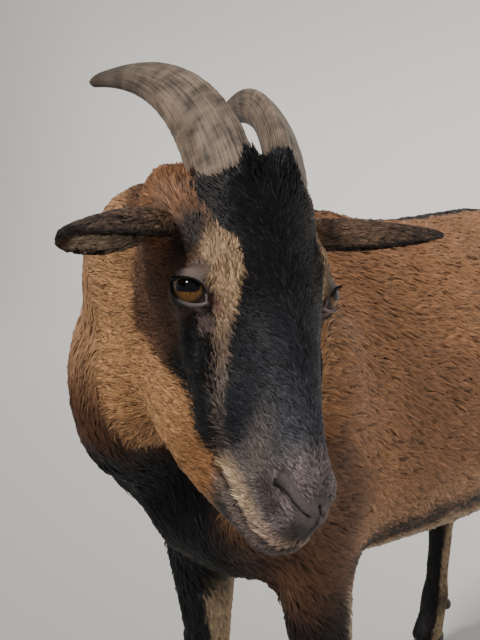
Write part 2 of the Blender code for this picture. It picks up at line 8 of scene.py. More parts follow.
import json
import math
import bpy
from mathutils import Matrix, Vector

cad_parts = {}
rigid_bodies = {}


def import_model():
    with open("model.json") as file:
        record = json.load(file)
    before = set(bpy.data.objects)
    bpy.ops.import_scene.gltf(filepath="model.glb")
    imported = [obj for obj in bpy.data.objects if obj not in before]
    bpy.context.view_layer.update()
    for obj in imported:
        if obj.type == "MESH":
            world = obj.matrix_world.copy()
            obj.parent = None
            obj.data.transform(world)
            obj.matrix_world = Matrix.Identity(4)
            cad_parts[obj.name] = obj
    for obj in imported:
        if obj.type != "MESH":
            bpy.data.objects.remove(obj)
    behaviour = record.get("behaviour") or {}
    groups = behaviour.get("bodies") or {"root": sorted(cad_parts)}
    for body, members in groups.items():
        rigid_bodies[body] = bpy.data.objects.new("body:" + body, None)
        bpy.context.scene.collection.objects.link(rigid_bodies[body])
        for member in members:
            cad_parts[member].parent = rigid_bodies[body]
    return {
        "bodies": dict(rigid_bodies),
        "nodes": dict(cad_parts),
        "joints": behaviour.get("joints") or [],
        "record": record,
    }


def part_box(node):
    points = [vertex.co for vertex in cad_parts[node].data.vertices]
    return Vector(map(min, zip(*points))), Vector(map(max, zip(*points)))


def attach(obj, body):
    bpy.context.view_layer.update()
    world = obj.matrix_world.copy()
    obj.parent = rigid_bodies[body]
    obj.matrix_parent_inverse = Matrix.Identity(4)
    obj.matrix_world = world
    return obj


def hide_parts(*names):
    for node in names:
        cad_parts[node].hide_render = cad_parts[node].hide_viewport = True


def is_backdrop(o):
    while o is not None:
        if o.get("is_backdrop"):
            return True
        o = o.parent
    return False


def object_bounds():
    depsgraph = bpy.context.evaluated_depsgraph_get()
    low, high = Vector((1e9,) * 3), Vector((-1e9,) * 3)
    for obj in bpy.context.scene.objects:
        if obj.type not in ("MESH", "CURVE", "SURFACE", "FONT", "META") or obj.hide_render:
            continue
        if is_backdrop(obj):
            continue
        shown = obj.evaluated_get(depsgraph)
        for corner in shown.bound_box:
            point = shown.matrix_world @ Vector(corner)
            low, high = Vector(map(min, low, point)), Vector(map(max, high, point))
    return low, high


bl_info = {
    "name": "Chestnut goat",
    "version": (1, 0, 0),
    "blender": (4, 5, 0),
    "location": "3D View > Sidebar > Goat",
    "description": "Skin, coat, eyes, horns and hooves of a museum goat",
    "category": "Object",
}

import bmesh
import bpy
import numpy as np
from bpy.props import FloatProperty, FloatVectorProperty, PointerProperty
from mathutils import Matrix, Vector
from mathutils.bvhtree import BVHTree

# The head's own axes: x to its left, y to its back, z to its crown, from midway between the eyes.
# Its right side mirrors its left, but for the ears, the horns and the width of the blaze.
HEAD_TURN, HEAD_NOD, HEAD_TILT = 60.1, 41.0, 7.9
EYE_DROP = 0.0042           # the eyeballs' centres lie this far under the head's origin
EYE_RADIUS = 0.0150
EYE_FACING = Vector((0.697, -0.348, 0.627)).normalized()
EYE_REACH = 0.034           # the forms and colours round the eye end this far from its centre
CORNEA_RISE, CORNEA_HALF = 0.0013, 44
SLIT_SLANT = 22.5           # how far the slit between the lids drops to its inner corner
SLIT_HALF = 0.0139          # half of the slit's length
SLIT_MIDDLE = (-0.0001, -0.0027)    # from the middle of the iris
LID_HEIGHT, LID_THICK = 0.0070, 0.0013
LID_SKEW = 0.58             # how much higher the upper lid stands at its inner end
EAR_AT = Vector((0.050, 0.062, -0.006))
EAR_LENGTH, EAR_WIDTH = 0.114, 0.064
EAR_AIM = {"left": Vector((0.93, -0.20, 0.31)), "right": Vector((0.78, -0.54, 0.36))}
EAR_BACK = {"left": Vector((-0.06, 0.72, 0.69)), "right": Vector((-0.34, 0.93, 0.16))}
HORN_BASE = Vector((0.0245, 0.062, 0.038))
HORN_LENGTH, HORN_DEPTH, HORN_WIDTH = 0.202, 0.048, 0.026
HORN_RISE = {"left": 12.0, "right": 14.0}
HORN_CURL = {"left": 70.0, "right": 65.0}
HORN_OUT = {"left": 10.0, "right": 3.0}
HORN_SPREAD = {"left": -4.0, "right": 22.0}
HORN_TWIST = 30.0
HORN_STEPS, HORN_SIDES, HORN_BURIED = 110, 40, 3
TAIL_WAY = (0.05, 0.55, 0.83)

NOSTRIL = ((0.0150, -0.1240, -0.0278), (0.0140, -0.1300, -0.0268), (0.0100, -0.1412, -0.0275),
           (0.0042, -0.1486, -0.0292))
MOUTH = ((0.0268, -0.0903, -0.0685), (0.0241, -0.0998, -0.0684), (0.0208, -0.1158, -0.0688),
         (0.0180, -0.1292, -0.0692), (0.0104, -0.1441, -0.0668), (0.0, -0.1487, -0.0634))
PHILTRUM = ((0.0, -0.1453, -0.0226), (0.0, -0.1504, -0.0332), (0.0, -0.1512, -0.0393),
            (0.0, -0.1498, -0.0511), (0.0, -0.1487, -0.0620))
TEAR_TROUGH = ((0.041, -0.022, -0.022), (0.030, -0.058, -0.033))
CHEEKBONE = ((0.046, 0.030, -0.034), (0.038, -0.030, -0.046), (0.030, -0.060, -0.052))
NOSTRIL_WEDGE = ((0.0160, -0.1200, -0.0430), (0.0146, -0.1310, -0.0460))
BROW = (0.041, 0.004, 0.022)

# The coat's colours that have no setting of their own.
# The temple's colour is dark brown hair with the shadow of the ear painted into it.
TEMPLE_AND_EAR_SHADOW, POLL, BROW_PATCH = (0.105, 0.050, 0.028), (0.235, 0.108, 0.050), (0.030, 0.021, 0.018)
STRIPE_LOW, STRIPE_END = (0.235, 0.165, 0.120), (0.150, 0.115, 0.095)
# The bridge's blue-grey colours are partly greying hair and partly painted sheen.
BRIDGE_GREY_AND_SHEEN, BRIDGE_END_GREY_AND_SHEEN = (0.021, 0.022, 0.028), (0.058, 0.060, 0.073)
MUZZLE, NOSE, NOSE_FRONT = (0.165, 0.134, 0.116), (0.205, 0.160, 0.156), (0.075, 0.060, 0.058)
WEDGE = (0.050, 0.037, 0.036)
LIP, LIP_FRONT = (0.60, 0.43, 0.28), (0.44, 0.31, 0.225)
JAW, JAW_LOW = (0.150, 0.112, 0.098), (0.042, 0.033, 0.030)
CHEEK_FRONT = (0.66, 0.60, 0.54)    # of the gold
LID, EYE_CORNER, UNDER_EYE = (0.275, 0.200, 0.170), (0.150, 0.052, 0.042), (0.040, 0.030, 0.027)
# The pale colour for the lower lid's wet edge is a painted highlight.
LID_RIM, LID_EDGE_HIGHLIGHT = (0.020, 0.015, 0.014), (0.52, 0.41, 0.38)
# Near-black painted shade for the nostrils' holes, the cleft of the lip and the mouth's line.
NOSTRIL_SHADE, CLEFT_SHADE, MOUTH_SHADE = (0.008, 0.006, 0.007), (0.015, 0.012, 0.013), (0.020, 0.015, 0.014)
EAR_OUTER, EAR_FLECKS = (0.185, 0.112, 0.072), (0.044, 0.030, 0.024)
# The ear's inner tip colour is dark hair with painted shade of the ear's hollow.
EAR_INNER, EAR_TIP_AND_SHADE, EAR_RIM = (0.47, 0.37, 0.27), (0.050, 0.030, 0.022), (0.022, 0.016, 0.014)
# The low neck and the chest front are dark hair, darkened further as painted shade of the head.
NECK_LOW_AND_SHADE, CHEST_FRONT_AND_SHADE = (0.095, 0.044, 0.025), (0.160, 0.074, 0.038)
RUST, FLANK = (0.32, 0.150, 0.068), (0.46, 0.26, 0.14)
HORN_FOOT_RUST = (0.17, 0.080, 0.038)
LASH_GREY = 0.012
PUPIL_BLACK, IRIS_EDGE = (0.002, 0.002, 0.003, 1), (0.020, 0.012, 0.008, 1)
EYE_WHITE = (0.060, 0.030, 0.026, 1)

SIDES = {"left": 1.0, "right": -1.0}
FLESH = {
    "head": ["head"], "neck": ["neck"], "chest": ["chest"], "barrel": ["barrel"],
    "hindquarters": ["hindquarters"], "tail": ["tail"],
    "foreleg": ["forearm_left", "forearm_right", "forecannon_left", "forecannon_right"],
    "hindleg": ["gaskin_left", "gaskin_right", "hindcannon_left", "hindcannon_right"],
    "ear": ["ear_left", "ear_right"],
}
PARTS = list(FLESH)
ALL_FLESH = [name for names in FLESH.values() for name in names]
GROUPS = {"chest": "trunk", "barrel": "trunk", "hindquarters": "trunk", "foreleg": "leg", "hindleg": "leg"}
FINE_GRAIN = 0.00225        # of the remesh that fuses the flesh
SKIN_FACES = 150000         # triangles left before the face is made finer
PIECE_TUFTS = 33000         # tufts in one piece of the coat
BLADE = np.array(((0, 1, 4), (0, 4, 3), (1, 2, 5), (1, 5, 4), (3, 4, 6), (4, 5, 6)))
BLADE_SHADE = np.array((0.55, 0.60, 0.55, 0.95, 1.04, 0.95, 1.15))  # dark at the root, light at the tip
PATCH = np.array(((-1, -1), (0, -1), (1, -1), (-1, 0), (0, 0), (1, 0), (0, 1))) * 0.0014

CAMERA_FROM_EYES = Vector((0.3138, -0.4130, 0.0648))
CAMERA_TURN, CAMERA_DOWN = 38.5, 9.0
LENS_MM, SENSOR_MM = 45.0, 36.0
KEY_WAY, KEY_ANGLE, KEY_COLOUR = Vector((0.141, 0.693, -0.707)), 13.0, (1.0, 0.955, 0.89)
ROOM_COLOUR, ROOM_STRENGTH = (0.90, 0.94, 1.0, 1), 0.45
FLOOR_COLOUR = (0.72, 0.71, 0.69, 1)

work = {}


# ---------------------------------------------------------------- numbers
def ramp(x, low, high):
    """0 up to low, 1 from high on, and smooth between."""
    t = np.clip((np.asarray(x, float) - low) / (high - low), 0, 1)
    return t * t * (3 - 2 * t)


def bump(x, middle, half):
    """1 at the middle, falling smoothly to 0 at half a width away."""
    return 1 - ramp(np.abs(np.asarray(x, float) - middle), 0, half)


def mix(a, b, share):
    """Blends two colours or ways, or two lists of them, by a share for each point."""
    share = np.asarray(share, float)
    if share.ndim == 1:
        share = share[:, None]
    return np.asarray(a) * (1 - share) + np.asarray(b) * share


def unit(v):
    return v / np.maximum(np.linalg.norm(v, axis=-1, keepdims=True), 1e-12)


def lattice(ix, iy, iz, seed):
    """A repeatable random number from -1 to 1 for each point of a grid."""
    h = (ix * 73856093) ^ (iy * 19349663) ^ (iz * 83492791) ^ (seed * 40503 + 12345)
    h = ((h ^ (h >> 13)) * 1274126177) & 0xFFFFFFFF
    h = ((h ^ (h >> 15)) * 668265263) & 0xFFFFFFFF
    return (h >> 8) / 8388608.0 - 1.0


def noise(p, cell, seed=0):
    """Smooth noise from -1 to 1 over cells of this size."""
    q = p / cell
    base = np.floor(q).astype(np.int64)
    f = q - base
    f = f * f * (3 - 2 * f)
    out = np.zeros(len(p))
    for corner in np.ndindex(2, 2, 2):
        share = np.where(corner, f, 1 - f)
        out += share[:, 0] * share[:, 1] * share[:, 2] * lattice(*(base + corner).T, seed)
    return out


def head_axes():
    """A turn whose columns are the head's own axes in the world, and the point they start from."""
    turn = (Matrix.Rotation(math.radians(HEAD_TURN), 3, "Z") @ Matrix.Rotation(math.radians(HEAD_NOD), 3, "X")
            @ Matrix.Rotation(math.radians(HEAD_TILT), 3, "Y"))
    return turn, (middle_of("eye_left") + middle_of("eye_right")) / 2 + turn @ Vector((0, 0, EYE_DROP))


def middle_of(node):
    low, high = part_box(node)
    return (Vector(low) + Vector(high)) / 2


def in_head(points):
    """World points in the head's own axes."""
    return (points - np.array(work["origin"])) @ np.array(work["turn"])


def in_world(points):
    """Points of the head's own axes in the world."""
    return points @ np.array(work["turn"]).T + np.array(work["origin"])


def head_way(x, y, z):
    """A direction given in the head's own axes, in the world."""
    return np.array(work["turn"] @ Vector((x, y, z)))


def on_side(way, side):
    """A direction of the head's left side, as it is on this side."""
    return Vector((way.x * SIDES[side], way.y, way.z))


def mirrored(h):
    """Both halves of the head folded onto its left."""
    return np.stack([np.abs(h[:, 0]), h[:, 1], h[:, 2]], 1)


def face_place(h):
    """How far each point lies to either side of the head's middle, forward and up."""
    return np.abs(h[:, 0]), -h[:, 1], h[:, 2]


# ---------------------------------------------------------------- meshes
def new_object(name, mesh):
    ob = bpy.data.objects.new(name, mesh)
    bpy.context.scene.collection.objects.link(ob)
    return ob


def object_from(bm, name, material=None, smooth=False):
    """A new object that takes over what the bmesh holds."""
    for face in bm.faces if smooth else ():
        face.smooth = True
    mesh = bpy.data.meshes.new(name)
    bm.to_mesh(mesh)
    bm.free()
    if material:
        mesh.materials.append(material)
    return new_object(name, mesh)


def merged(names, swell=0.0):
    """The named nodes' meshes, welded and grown by a hair so that they meet."""
    whole = bmesh.new()
    for name in names:
        part = bmesh.new()
        part.from_mesh(work["frame"]["nodes"][name].data)
        bmesh.ops.remove_doubles(part, verts=part.verts, dist=1e-6)
        part.normal_update()
        for v in part.verts:
            v.co += v.normal * swell
        mesh = bpy.data.meshes.new("part")
        part.to_mesh(mesh)
        part.free()
        whole.from_mesh(mesh)
        bpy.data.meshes.remove(mesh)
    return whole


def with_modifiers(ob):
    """Replaces the object's mesh with the one its modifiers make."""
    graph = bpy.context.evaluated_depsgraph_get()
    mesh = bpy.data.meshes.new_from_object(ob.evaluated_get(graph))
    old = ob.data
    ob.modifiers.clear()
    ob.data = mesh
    bpy.data.meshes.remove(old)


def read(items, name, size, kind=float):
    """One property of all the vertices, edges, triangles or corners, a row for each."""
    out = np.empty(len(items) * size, dtype=kind)
    items.foreach_get(name, out)
    return out.reshape(-1, size)


def places(mesh):
    return read(mesh.vertices, "co", 3)


def place(mesh, co):
    mesh.vertices.foreach_set("co", np.ascontiguousarray(co, dtype=float).ravel())
    mesh.update()


def normals_of(mesh):
    return read(mesh.vertices, "normal", 3)


def edges_of(mesh):
    return read(mesh.edges, "vertices", 2, np.int64)


def relaxed(values, edges, share, rounds):
    """Moves each vertex's value towards the mean of its neighbours'."""
    count = len(values)
    a = np.concatenate([edges[:, 0], edges[:, 1]])
    b = np.concatenate([edges[:, 1], edges[:, 0]])
    near = np.maximum(np.bincount(a, minlength=count), 1)
    flat = values.ndim == 1
    values = values.reshape(count, -1).astype(float)
    share = np.broadcast_to(np.asarray(share, float).reshape(-1, 1), (count, 1))
    for _ in range(rounds):
        sums = [np.bincount(a, values[b, k], count) for k in range(values.shape[1])]
        values = values + (np.stack(sums, 1) / near[:, None] - values) * share
    return values[:, 0] if flat else values


def part_weights(mesh):
    """For each vertex, 1 for the part of the body that it lies nearest to and 0 for the others."""
    verts, faces, owner = [], [], []
    for k, part in enumerate(PARTS):
        for name in FLESH[part]:
            data = work["frame"]["nodes"][name].data
            start = len(verts)
            verts += [v.co.copy() for v in data.vertices]
            faces += [[start + i for i in p.vertices] for p in data.polygons]
            owner += [k] * len(data.polygons)
    tree = BVHTree.FromPolygons(verts, faces)
    label = np.array([owner[tree.find_nearest(Vector(p))[2]] for p in places(mesh)])
    return np.eye(len(PARTS))[label]


def share_of(weights, *parts):
    return sum(weights[:, PARTS.index(p)] for p in parts)


def by_part(weights, **values):
    """Blends one value or list of values for each part, or group of parts, at each vertex."""
    total = 0
    for k, part in enumerate(PARTS):
        value = np.asarray(values[part] if part in values else values[GROUPS[part]], float)
        total = total + weights[:, k].reshape(-1, *[1] * (value.ndim - 1)) * value
    return total


# ---------------------------------------------------------------- the skin
def fused_flesh():
    """All the flesh and the eyeballs as one closed mesh, fine on the head and coarser behind it."""
    ob = object_from(merged(ALL_FLESH + ["eye_left", "eye_right"], 0.0004), "skin")
    fuse = ob.modifiers.new("fuse", "REMESH")
    fuse.mode = "VOXEL"
    fuse.voxel_size = FINE_GRAIN
    with_modifiers(ob)
    from_face = np.linalg.norm(in_head(places(ob.data)) - np.array((0, 0.0, -0.030)), axis=1)
    weight = 0.02 + 0.98 * ramp(from_face, 0.150, 0.185)
    weight[from_face < 0.150] = 0.0
    group = ob.vertex_groups.new(name="thin")
    steps = np.round(weight * 20).astype(int)
    for s in range(1, 21):
        group.add(np.nonzero(steps == s)[0].tolist(), s / 20, "REPLACE")
    thin = ob.modifiers.new("thin", "DECIMATE")
    thin.vertex_group = "thin"
    thin.ratio = SKIN_FACES / (2 * len(ob.data.polygons))
    with_modifiers(ob)
    ob.vertex_groups.clear()
    return ob


def make_skin():
    """One skin in place of the flesh: eased at the joins, let in by the coat's depth and sculpted."""
    ob = work["skin"] = fused_flesh()
    mesh = ob.data
    soft = relaxed(part_weights(mesh), edges_of(mesh), 0.5, 12)
    ease = by_part(soft, head=0.20, neck=0.42, trunk=0.5, hindquarters=0.42, tail=0.2, leg=0.12, ear=0.05)
    co = relaxed(places(mesh), edges_of(mesh), ease, 24)
    place(mesh, co)
    depth = by_part(soft, head=0.0008, neck=0.0012, chest=0.0018, trunk=0.0020, tail=0.0040,
                    leg=0.0003, ear=0.0002)
    depth = depth * (1 - 0.8 * ramp(-in_head(co)[:, 1], 0.10, 0.13) * share_of(soft, "head"))
    depth = depth * ramp(co[:, 2], 0.030, 0.070)
    place(mesh, co - normals_of(mesh) * depth[:, None])
    for lid_reach, line_reach in ((0.024, 0.020), (0.0045, 0.0030), (0.0009, 0.0)):
        refine(ob, lambda h: near_features(h, lid_reach, line_reach))
    co = places(mesh)
    work["unsculpted"] = in_head(co)
    place(mesh, sculpted(co))
    for face in mesh.polygons:
        face.use_smooth = True
    work["weights"] = relaxed(part_weights(mesh), edges_of(mesh), 0.5, 10)
    unwrap(ob)
    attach(ob, "root")
    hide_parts(*ALL_FLESH)
    gather(mesh)
    mesh.materials.append(skin_material())
    h, w = work["unsculpted"], work["weights"]
    rgb = painted(h, work["co"], work["normal"], w, np.zeros(len(h)))
    # skin under hair is darker than the hair
    write_colour(mesh, rgb * (0.58 + 0.42 * bare_skin(h, w))[:, None])


def write_colour(mesh, rgb):
    layer = mesh.color_attributes.new("coat", "FLOAT_COLOR", "POINT")
    rgba = np.ones((len(rgb), 4), dtype=np.float32)
    rgba[:, :3] = np.clip(rgb, 0, 1)
    layer.data.foreach_set("color", rgba.ravel())


def near_features(h, lid_reach, line_reach):
    """True where the eye's slit, the nostril or the mouth is this near."""
    m = mirrored(h)
    e, ahead = slit(m)
    near = (ahead > 0.1) & (np.abs(e) < lid_reach) & (np.linalg.norm(m - eye_centre(), axis=1) < 0.030)
    if line_reach:
        near |= to_line(m, NOSTRIL)[0] < line_reach * 0.9
        near |= to_line(m, MOUTH)[0] < line_reach
        near |= (line_reach > 0.01) & (-h[:, 1] > 0.115) & (h[:, 2] > -0.12)
    return near


def refine(ob, chosen):
    """Splits the edges where the test holds and eases the new points into a curve."""
    bm = bmesh.new()
    bm.from_mesh(ob.data)
    near = chosen(in_head(np.array([v.co for v in bm.verts])))
    bm.verts.ensure_lookup_table()
    edges = [e for e in bm.edges if near[e.verts[0].index] and near[e.verts[1].index]]
    bmesh.ops.subdivide_edges(bm, edges=edges, cuts=1)
    bmesh.ops.triangulate(bm, faces=[f for f in bm.faces if len(f.verts) > 3])
    bm.to_mesh(ob.data)
    bm.free()
    co = places(ob.data)
    place(ob.data, relaxed(co, edges_of(ob.data), 0.5 * chosen(in_head(co)), 2))


def eye_centre():
    return np.array((work["eye_out"], 0.0, -EYE_DROP))


def eye_frame():
    """The left eye's own axes in the head: along the slit to its inner corner, up, and outward."""
    out = EYE_FACING
    nod, slant = math.radians(HEAD_NOD), math.radians(SLIT_SLANT)
    crown = Vector((0, 0, 1)) * math.cos(nod) + Vector((0, 1, 0)) * math.sin(nod)
    up = (crown - out * crown.dot(out)).normalized()
    along = up.cross(out).normalized()
    if along.y > 0:
        along = -along
    return (np.array(along * math.cos(slant) - up * math.sin(slant)),
            np.array(up * math.cos(slant) + along * math.sin(slant)), np.array(out))


def lid_lines(share):
    """How far the upper and the lower lid stand from the slit's own line, the upper one highest inwards."""
    q = lid_arch(share)
    return LID_HEIGHT * q * (1 + LID_SKEW * share), LID_HEIGHT * q


def lid_arch(share):
    """1 at the middle of the slit and 0 at its corners."""
    return np.clip(1 - np.abs(share) ** 2.1, 0, 1) ** 0.70


def slit(m):
    """How far inside the opening between the lids each point lies, and how squarely the eye faces it."""
    along, up, out = eye_frame()
    way = unit(m - eye_centre())
    shell = EYE_RADIUS + LID_THICK
    s = way @ along * shell - SLIT_MIDDLE[0]
    w = way @ up * shell - SLIT_MIDDLE[1]
    high, deep = lid_lines(s / SLIT_HALF)
    inside = np.minimum(high - w, w + deep)
    beyond = np.hypot(np.maximum(np.abs(s) - SLIT_HALF, 0), w)
    return np.where(np.abs(s) < SLIT_HALF, inside, -beyond), way @ out


def to_line(m, points):
    """Distance from a line of points and how far along it, from 0 to 1."""
    best, where = np.full(len(m), 9.0), np.zeros(len(m))
    points = [np.array(p) for p in points]
    spans = len(points) - 1
    for i in range(spans):
        a, b = points[i], points[i + 1]
        t = np.clip((m - a) @ (b - a) / ((b - a) @ (b - a)), 0, 1)
        d = np.linalg.norm(m - a - t[:, None] * (b - a), axis=1)
        where = np.where(d < best, (i + t) / spans, where)
        best = np.minimum(d, best)
    return best, where


def face_push(m):
    """How far the skin rises or sinks for the nose, the mouth, the brow and the cheek."""
    f, z = -m[:, 1], m[:, 2]
    push = np.zeros(len(m))
    # nostrils with a raised wing, mouth with full lips, and the cleft between them
    d, t = to_line(m, NOSTRIL)
    wide = 0.0008 + 0.0021 * bump(t, 0.14, 0.26)
    push -= (0.0024 + 0.0042 * bump(t, 0.14, 0.34)) * (1 - ramp(d, wide * 0.5, wide * 1.5))
    wing = ramp(z + 0.0272, -0.0006, 0.0006)
    push += (0.0010 + 0.0012 * wing) * bump(d, 0.0050, 0.0036) * ramp(f, 0.110, 0.124)
    d, t = to_line(m, MOUTH)
    push -= 0.0036 * (1 - ramp(d, 0.0003, 0.0021)) * ramp(t, 0.0, 0.10)
    push += 0.0016 * bump(d, 0.0048, 0.0038) * ramp(f, 0.085, 0.105)
    push -= 0.0016 * (1 - ramp(to_line(m, PHILTRUM)[0], 0.0003, 0.0019))
    # brow, tear trough and cheekbone
    push += 0.0030 * bump(np.linalg.norm(m - np.array(BROW), axis=1), 0, 0.022)
    push -= 0.0016 * bump(to_line(m, TEAR_TROUGH)[0], 0, 0.010)
    push += 0.0018 * bump(to_line(m, CHEEKBONE)[0], 0, 0.013)
    # wrinkles beside the nostril and on the lips
    fold = np.sin((f * 0.8 + z * 0.6) / 0.0021) * bump(f, 0.112, 0.016) * bump(z, -0.040, 0.018)
    return push + 0.00022 * fold


def with_lids(m):
    """Wraps the skin round the eyeball as two lids, and tucks it in behind their edges."""
    centre = eye_centre()
    e, ahead = slit(m)
    away = m - centre
    old = np.linalg.norm(away, axis=1)
    way = unit(away)
    above = way @ eye_frame()[1] > 0
    lift = np.maximum(-e - 0.0030, 0) * np.where(above, 0.22, 0.20)
    lid = EYE_RADIUS + LID_THICK + 0.0004 * bump(-e, 0.0012, 0.0016) + lift
    # two folds in each lid
    lid -= 0.0004 * bump(-e, np.where(above, 0.0052, 0.0046), 0.0010)
    lid -= 0.0003 * bump(-e, 0.0078, 0.0009)
    reach = 1 - ramp(-e, 0.0045, 0.0150)
    new = old * (1 - reach) + lid * reach
    tucked = ramp(e, -0.0002, 0.0005)
    new = new * (1 - tucked) + (EYE_RADIUS - 0.0026) * tucked
    hold = ramp(ahead, 0.02, 0.22)
    new = old * (1 - hold) + new * hold
    around = (ahead > 0.02) & (old < EYE_REACH)
    return np.where(around[:, None], centre + way * new[:, None], m)


def sculpted(co):
    """The face's forms: lids, nostrils, mouth, cleft lip, folds of skin and the horns' feet."""
    h = in_head(co)
    near = np.nonzero((np.linalg.norm(h - np.array((0, -0.03, -0.03)), axis=1) < 0.19))[0]
    h = h[near]
    m = mirrored(h)
    normals = normals_of(work["skin"].data)[near] @ np.array(work["turn"])
    moved = m + normals * face_push(m)[:, None]
    moved = with_lids(moved + horn_mound(m, h[:, 0], normals, near))
    moved[:, 0] = np.where(h[:, 0] < 0, -moved[:, 0], moved[:, 0])
    out = co.copy()
    out[near] = in_world(moved)
    return out


def horn_mound(m, x, normals, near):
    """Lifts the forehead into a slope that runs up to each horn's foot and wraps it."""
    lift = np.zeros(len(m))
    up = np.array((0.30, 0.0, 0.954))
    high, wide = HORN_DEPTH * 0.55, HORN_WIDTH * 0.50
    for side, sign in SIDES.items():
        t, at, along, keel, flat, shrink = next(horn_line(side))
        q = m - np.array(at)
        k, l, a = q @ np.array(keel), q @ np.array(flat), q @ np.array(along)
        uk, ul = up @ np.array(keel), up @ np.array(flat)
        size = 1.07 * ramp(a, -0.046, 0.001) * (1 - ramp(a, 0.004, 0.010))
        # how far up each point has to go to leave an oval round the horn: a quadratic's larger root
        one = (uk / high) ** 2 + (ul / wide) ** 2
        two = 2 * (k * uk / high ** 2 + l * ul / wide ** 2)
        three = (k / high) ** 2 + (l / wide) ** 2 - size ** 2
        inside = two ** 2 - 4 * one * three
        climb = (-two + np.sqrt(np.maximum(inside, 0))) / (2 * one)
        good = (inside > 0) & (climb > 0) & (climb < 0.034) & (x * sign > 0) & (normals[:, 2] > 0.0)
        lift = np.where(good, climb, lift)
    whole = np.zeros(len(work["unsculpted"]))
    whole[near] = lift
    return relaxed(whole, edges_of(work["skin"].data), 0.6, 26)[near][:, None] * up


def unwrap(ob):
    bpy.ops.object.select_all(action="DESELECT")
    bpy.context.view_layer.objects.active = ob
    ob.select_set(True)
    while ob.data.uv_layers:
        ob.data.uv_layers.remove(ob.data.uv_layers[0])
    ob.data.uv_layers.new(name="OFBake")
    bpy.ops.object.mode_set(mode="EDIT")
    bpy.ops.mesh.select_all(action="SELECT")
    bpy.ops.uv.smart_project(angle_limit=math.radians(72), island_margin=0.002)
    bpy.ops.object.mode_set(mode="OBJECT")


def gather(mesh):
    """Keeps the skin's arrays for the coat."""
    mesh.calc_loop_triangles()
    tri = read(mesh.loop_triangles, "vertices", 3, np.int64)
    corners = read(mesh.loop_triangles, "loops", 3, np.int64)
    co = places(mesh)
    uv = read(mesh.uv_layers["OFBake"].data, "uv", 2)[corners]
    work.update(co=co, normal=normals_of(mesh), tri=tri, uv=uv)
    work["tree"] = BVHTree.FromPolygons([Vector(p) for p in co], tri.tolist())
    work["lie"] = lie_of_hair(mesh)


def lie_of_hair(mesh):
    """The way the hair points at each vertex of the skin, in the skin's own plane."""
    co, normal, h = work["co"], work["normal"], work["unsculpted"]
    ax, f, z = face_place(h)
    left, back, crown = head_way(1, 0, 0), head_way(0, 1, 0), head_way(0, 0, 1)
    left = np.sign(h[:, 0])[:, None] * left
    arc = ax + crown_line(f) - z
    low = ramp(arc, 0.070, 0.115)
    outward = np.where(arc < blaze_edge(f), 0.62, -0.30) * (1 - low) * ramp(ax, 0.0, 0.006)
    outward = outward * (1 - 0.5 * ramp(-f, 0.0, 0.05))
    face = back * 0.75 + left * outward[:, None] - crown * (0.62 * low)[:, None]
    lips = ramp(f, 0.098, 0.118) * ramp(-z, 0.040, 0.052)
    face = mix(face, -crown * 0.8 + back * 0.5 + left * 0.1, lips)
    neck = unit(np.array((0.0, -0.06, 0.42)) - co) + np.array((0, 0.1, -0.35))
    total = by_part(work["weights"], head=unit(face), neck=unit(neck),
                    trunk=unit(np.array([[0.0, 0.90, -0.42]])),
                    leg=unit(np.array([[0.0, 0.22, -1.0]])), tail=unit(np.array([TAIL_WAY])),
                    ear=unit(np.where(h[:, :1] > 0, ear_way("left"), ear_way("right"))))
    total = relaxed(total, edges_of(mesh), 0.5, 6)
    return unit(total - normal * (total * normal).sum(1, keepdims=True))


def ear_axes(side):
    """The ear's own axes in the folded head: to its tip, across it, and out of its back."""
    along = EAR_AIM[side].normalized()
    back = (EAR_BACK[side] - along * EAR_BACK[side].dot(along)).normalized()
    return np.array((along, back.cross(along), back))


def ear_way(side):
    return head_way(*on_side(EAR_AIM[side].normalized(), side))


def ear_place(h):
    """Along the ear, round it from rim to rim, and how far outside the middle of its thickness."""
    m = mirrored(h)
    out = [np.zeros(len(h)) for _ in range(3)]
    for side, sign in SIDES.items():
        q = (m - np.array(EAR_AT)) @ ear_axes(side).T
        t = np.clip(q[:, 0] / EAR_LENGTH, 0, 1)
        half = EAR_WIDTH / 2 * np.sin(math.pi * (0.22 + 0.765 * t)) ** 0.62
        roll = np.radians(112 - 62 * t)
        radius = half / roll * 1.15
        y, up = q[:, 1] - 0.10 * half * t, q[:, 2] + radius * (1 + np.cos(roll)) / 2
        found = (t, np.arctan2(y, up) / roll, np.hypot(y, up) - radius + 0.0024 * (1.15 - 0.35 * t))
        for k in range(3):
            out[k] = np.where(h[:, 0] * sign > 0, found[k], out[k])
    return out


# ---------------------------------------------------------------- markings
def crown_line(f):
    """Height of the face's midline above the head's origin, by how far forward it is."""
    return np.interp(f, (-0.055, 0.0, 0.03, 0.06, 0.088, 0.112, 0.132, 0.153),
                     (0.046, 0.039, 0.030, 0.0205, 0.0085, -0.002, -0.010, -0.028))


def blaze_edge(f):
    """How far round from the midline the dark blaze reaches."""
    return np.interp(f, (-0.086, -0.050, -0.027, -0.005, 0.017, 0.033, 0.044, 0.079),
                     (0.057, 0.061, 0.049, 0.034, 0.034, 0.048, 0.065, 0.085))


def stripe_edge(f):
    """And where the pale stripe outside it ends."""
    return np.interp(f, (-0.030, -0.013, 0.003, 0.024, 0.032, 0.049, 0.083),
                     (0.052, 0.069, 0.062, 0.062, 0.079, 0.084, 0.094))


def gold_edge(f):
    """Height below which the cheek is golden; above it the cheek is dark brown with the ear's painted shadow,
    and black further forward.
    """
    return np.interp(f, (-0.062, -0.045, -0.027, 0.002, 0.027, 0.055, 0.071, 0.089),
                     (-0.030, -0.052, -0.075, -0.070, -0.061, -0.056, -0.066, -0.068))


def mouth_height(f):
    return np.interp(f, (0.09, 0.116, 0.129, 0.144, 0.149), (-0.0685, -0.0688, -0.0692, -0.0668, -0.0634))


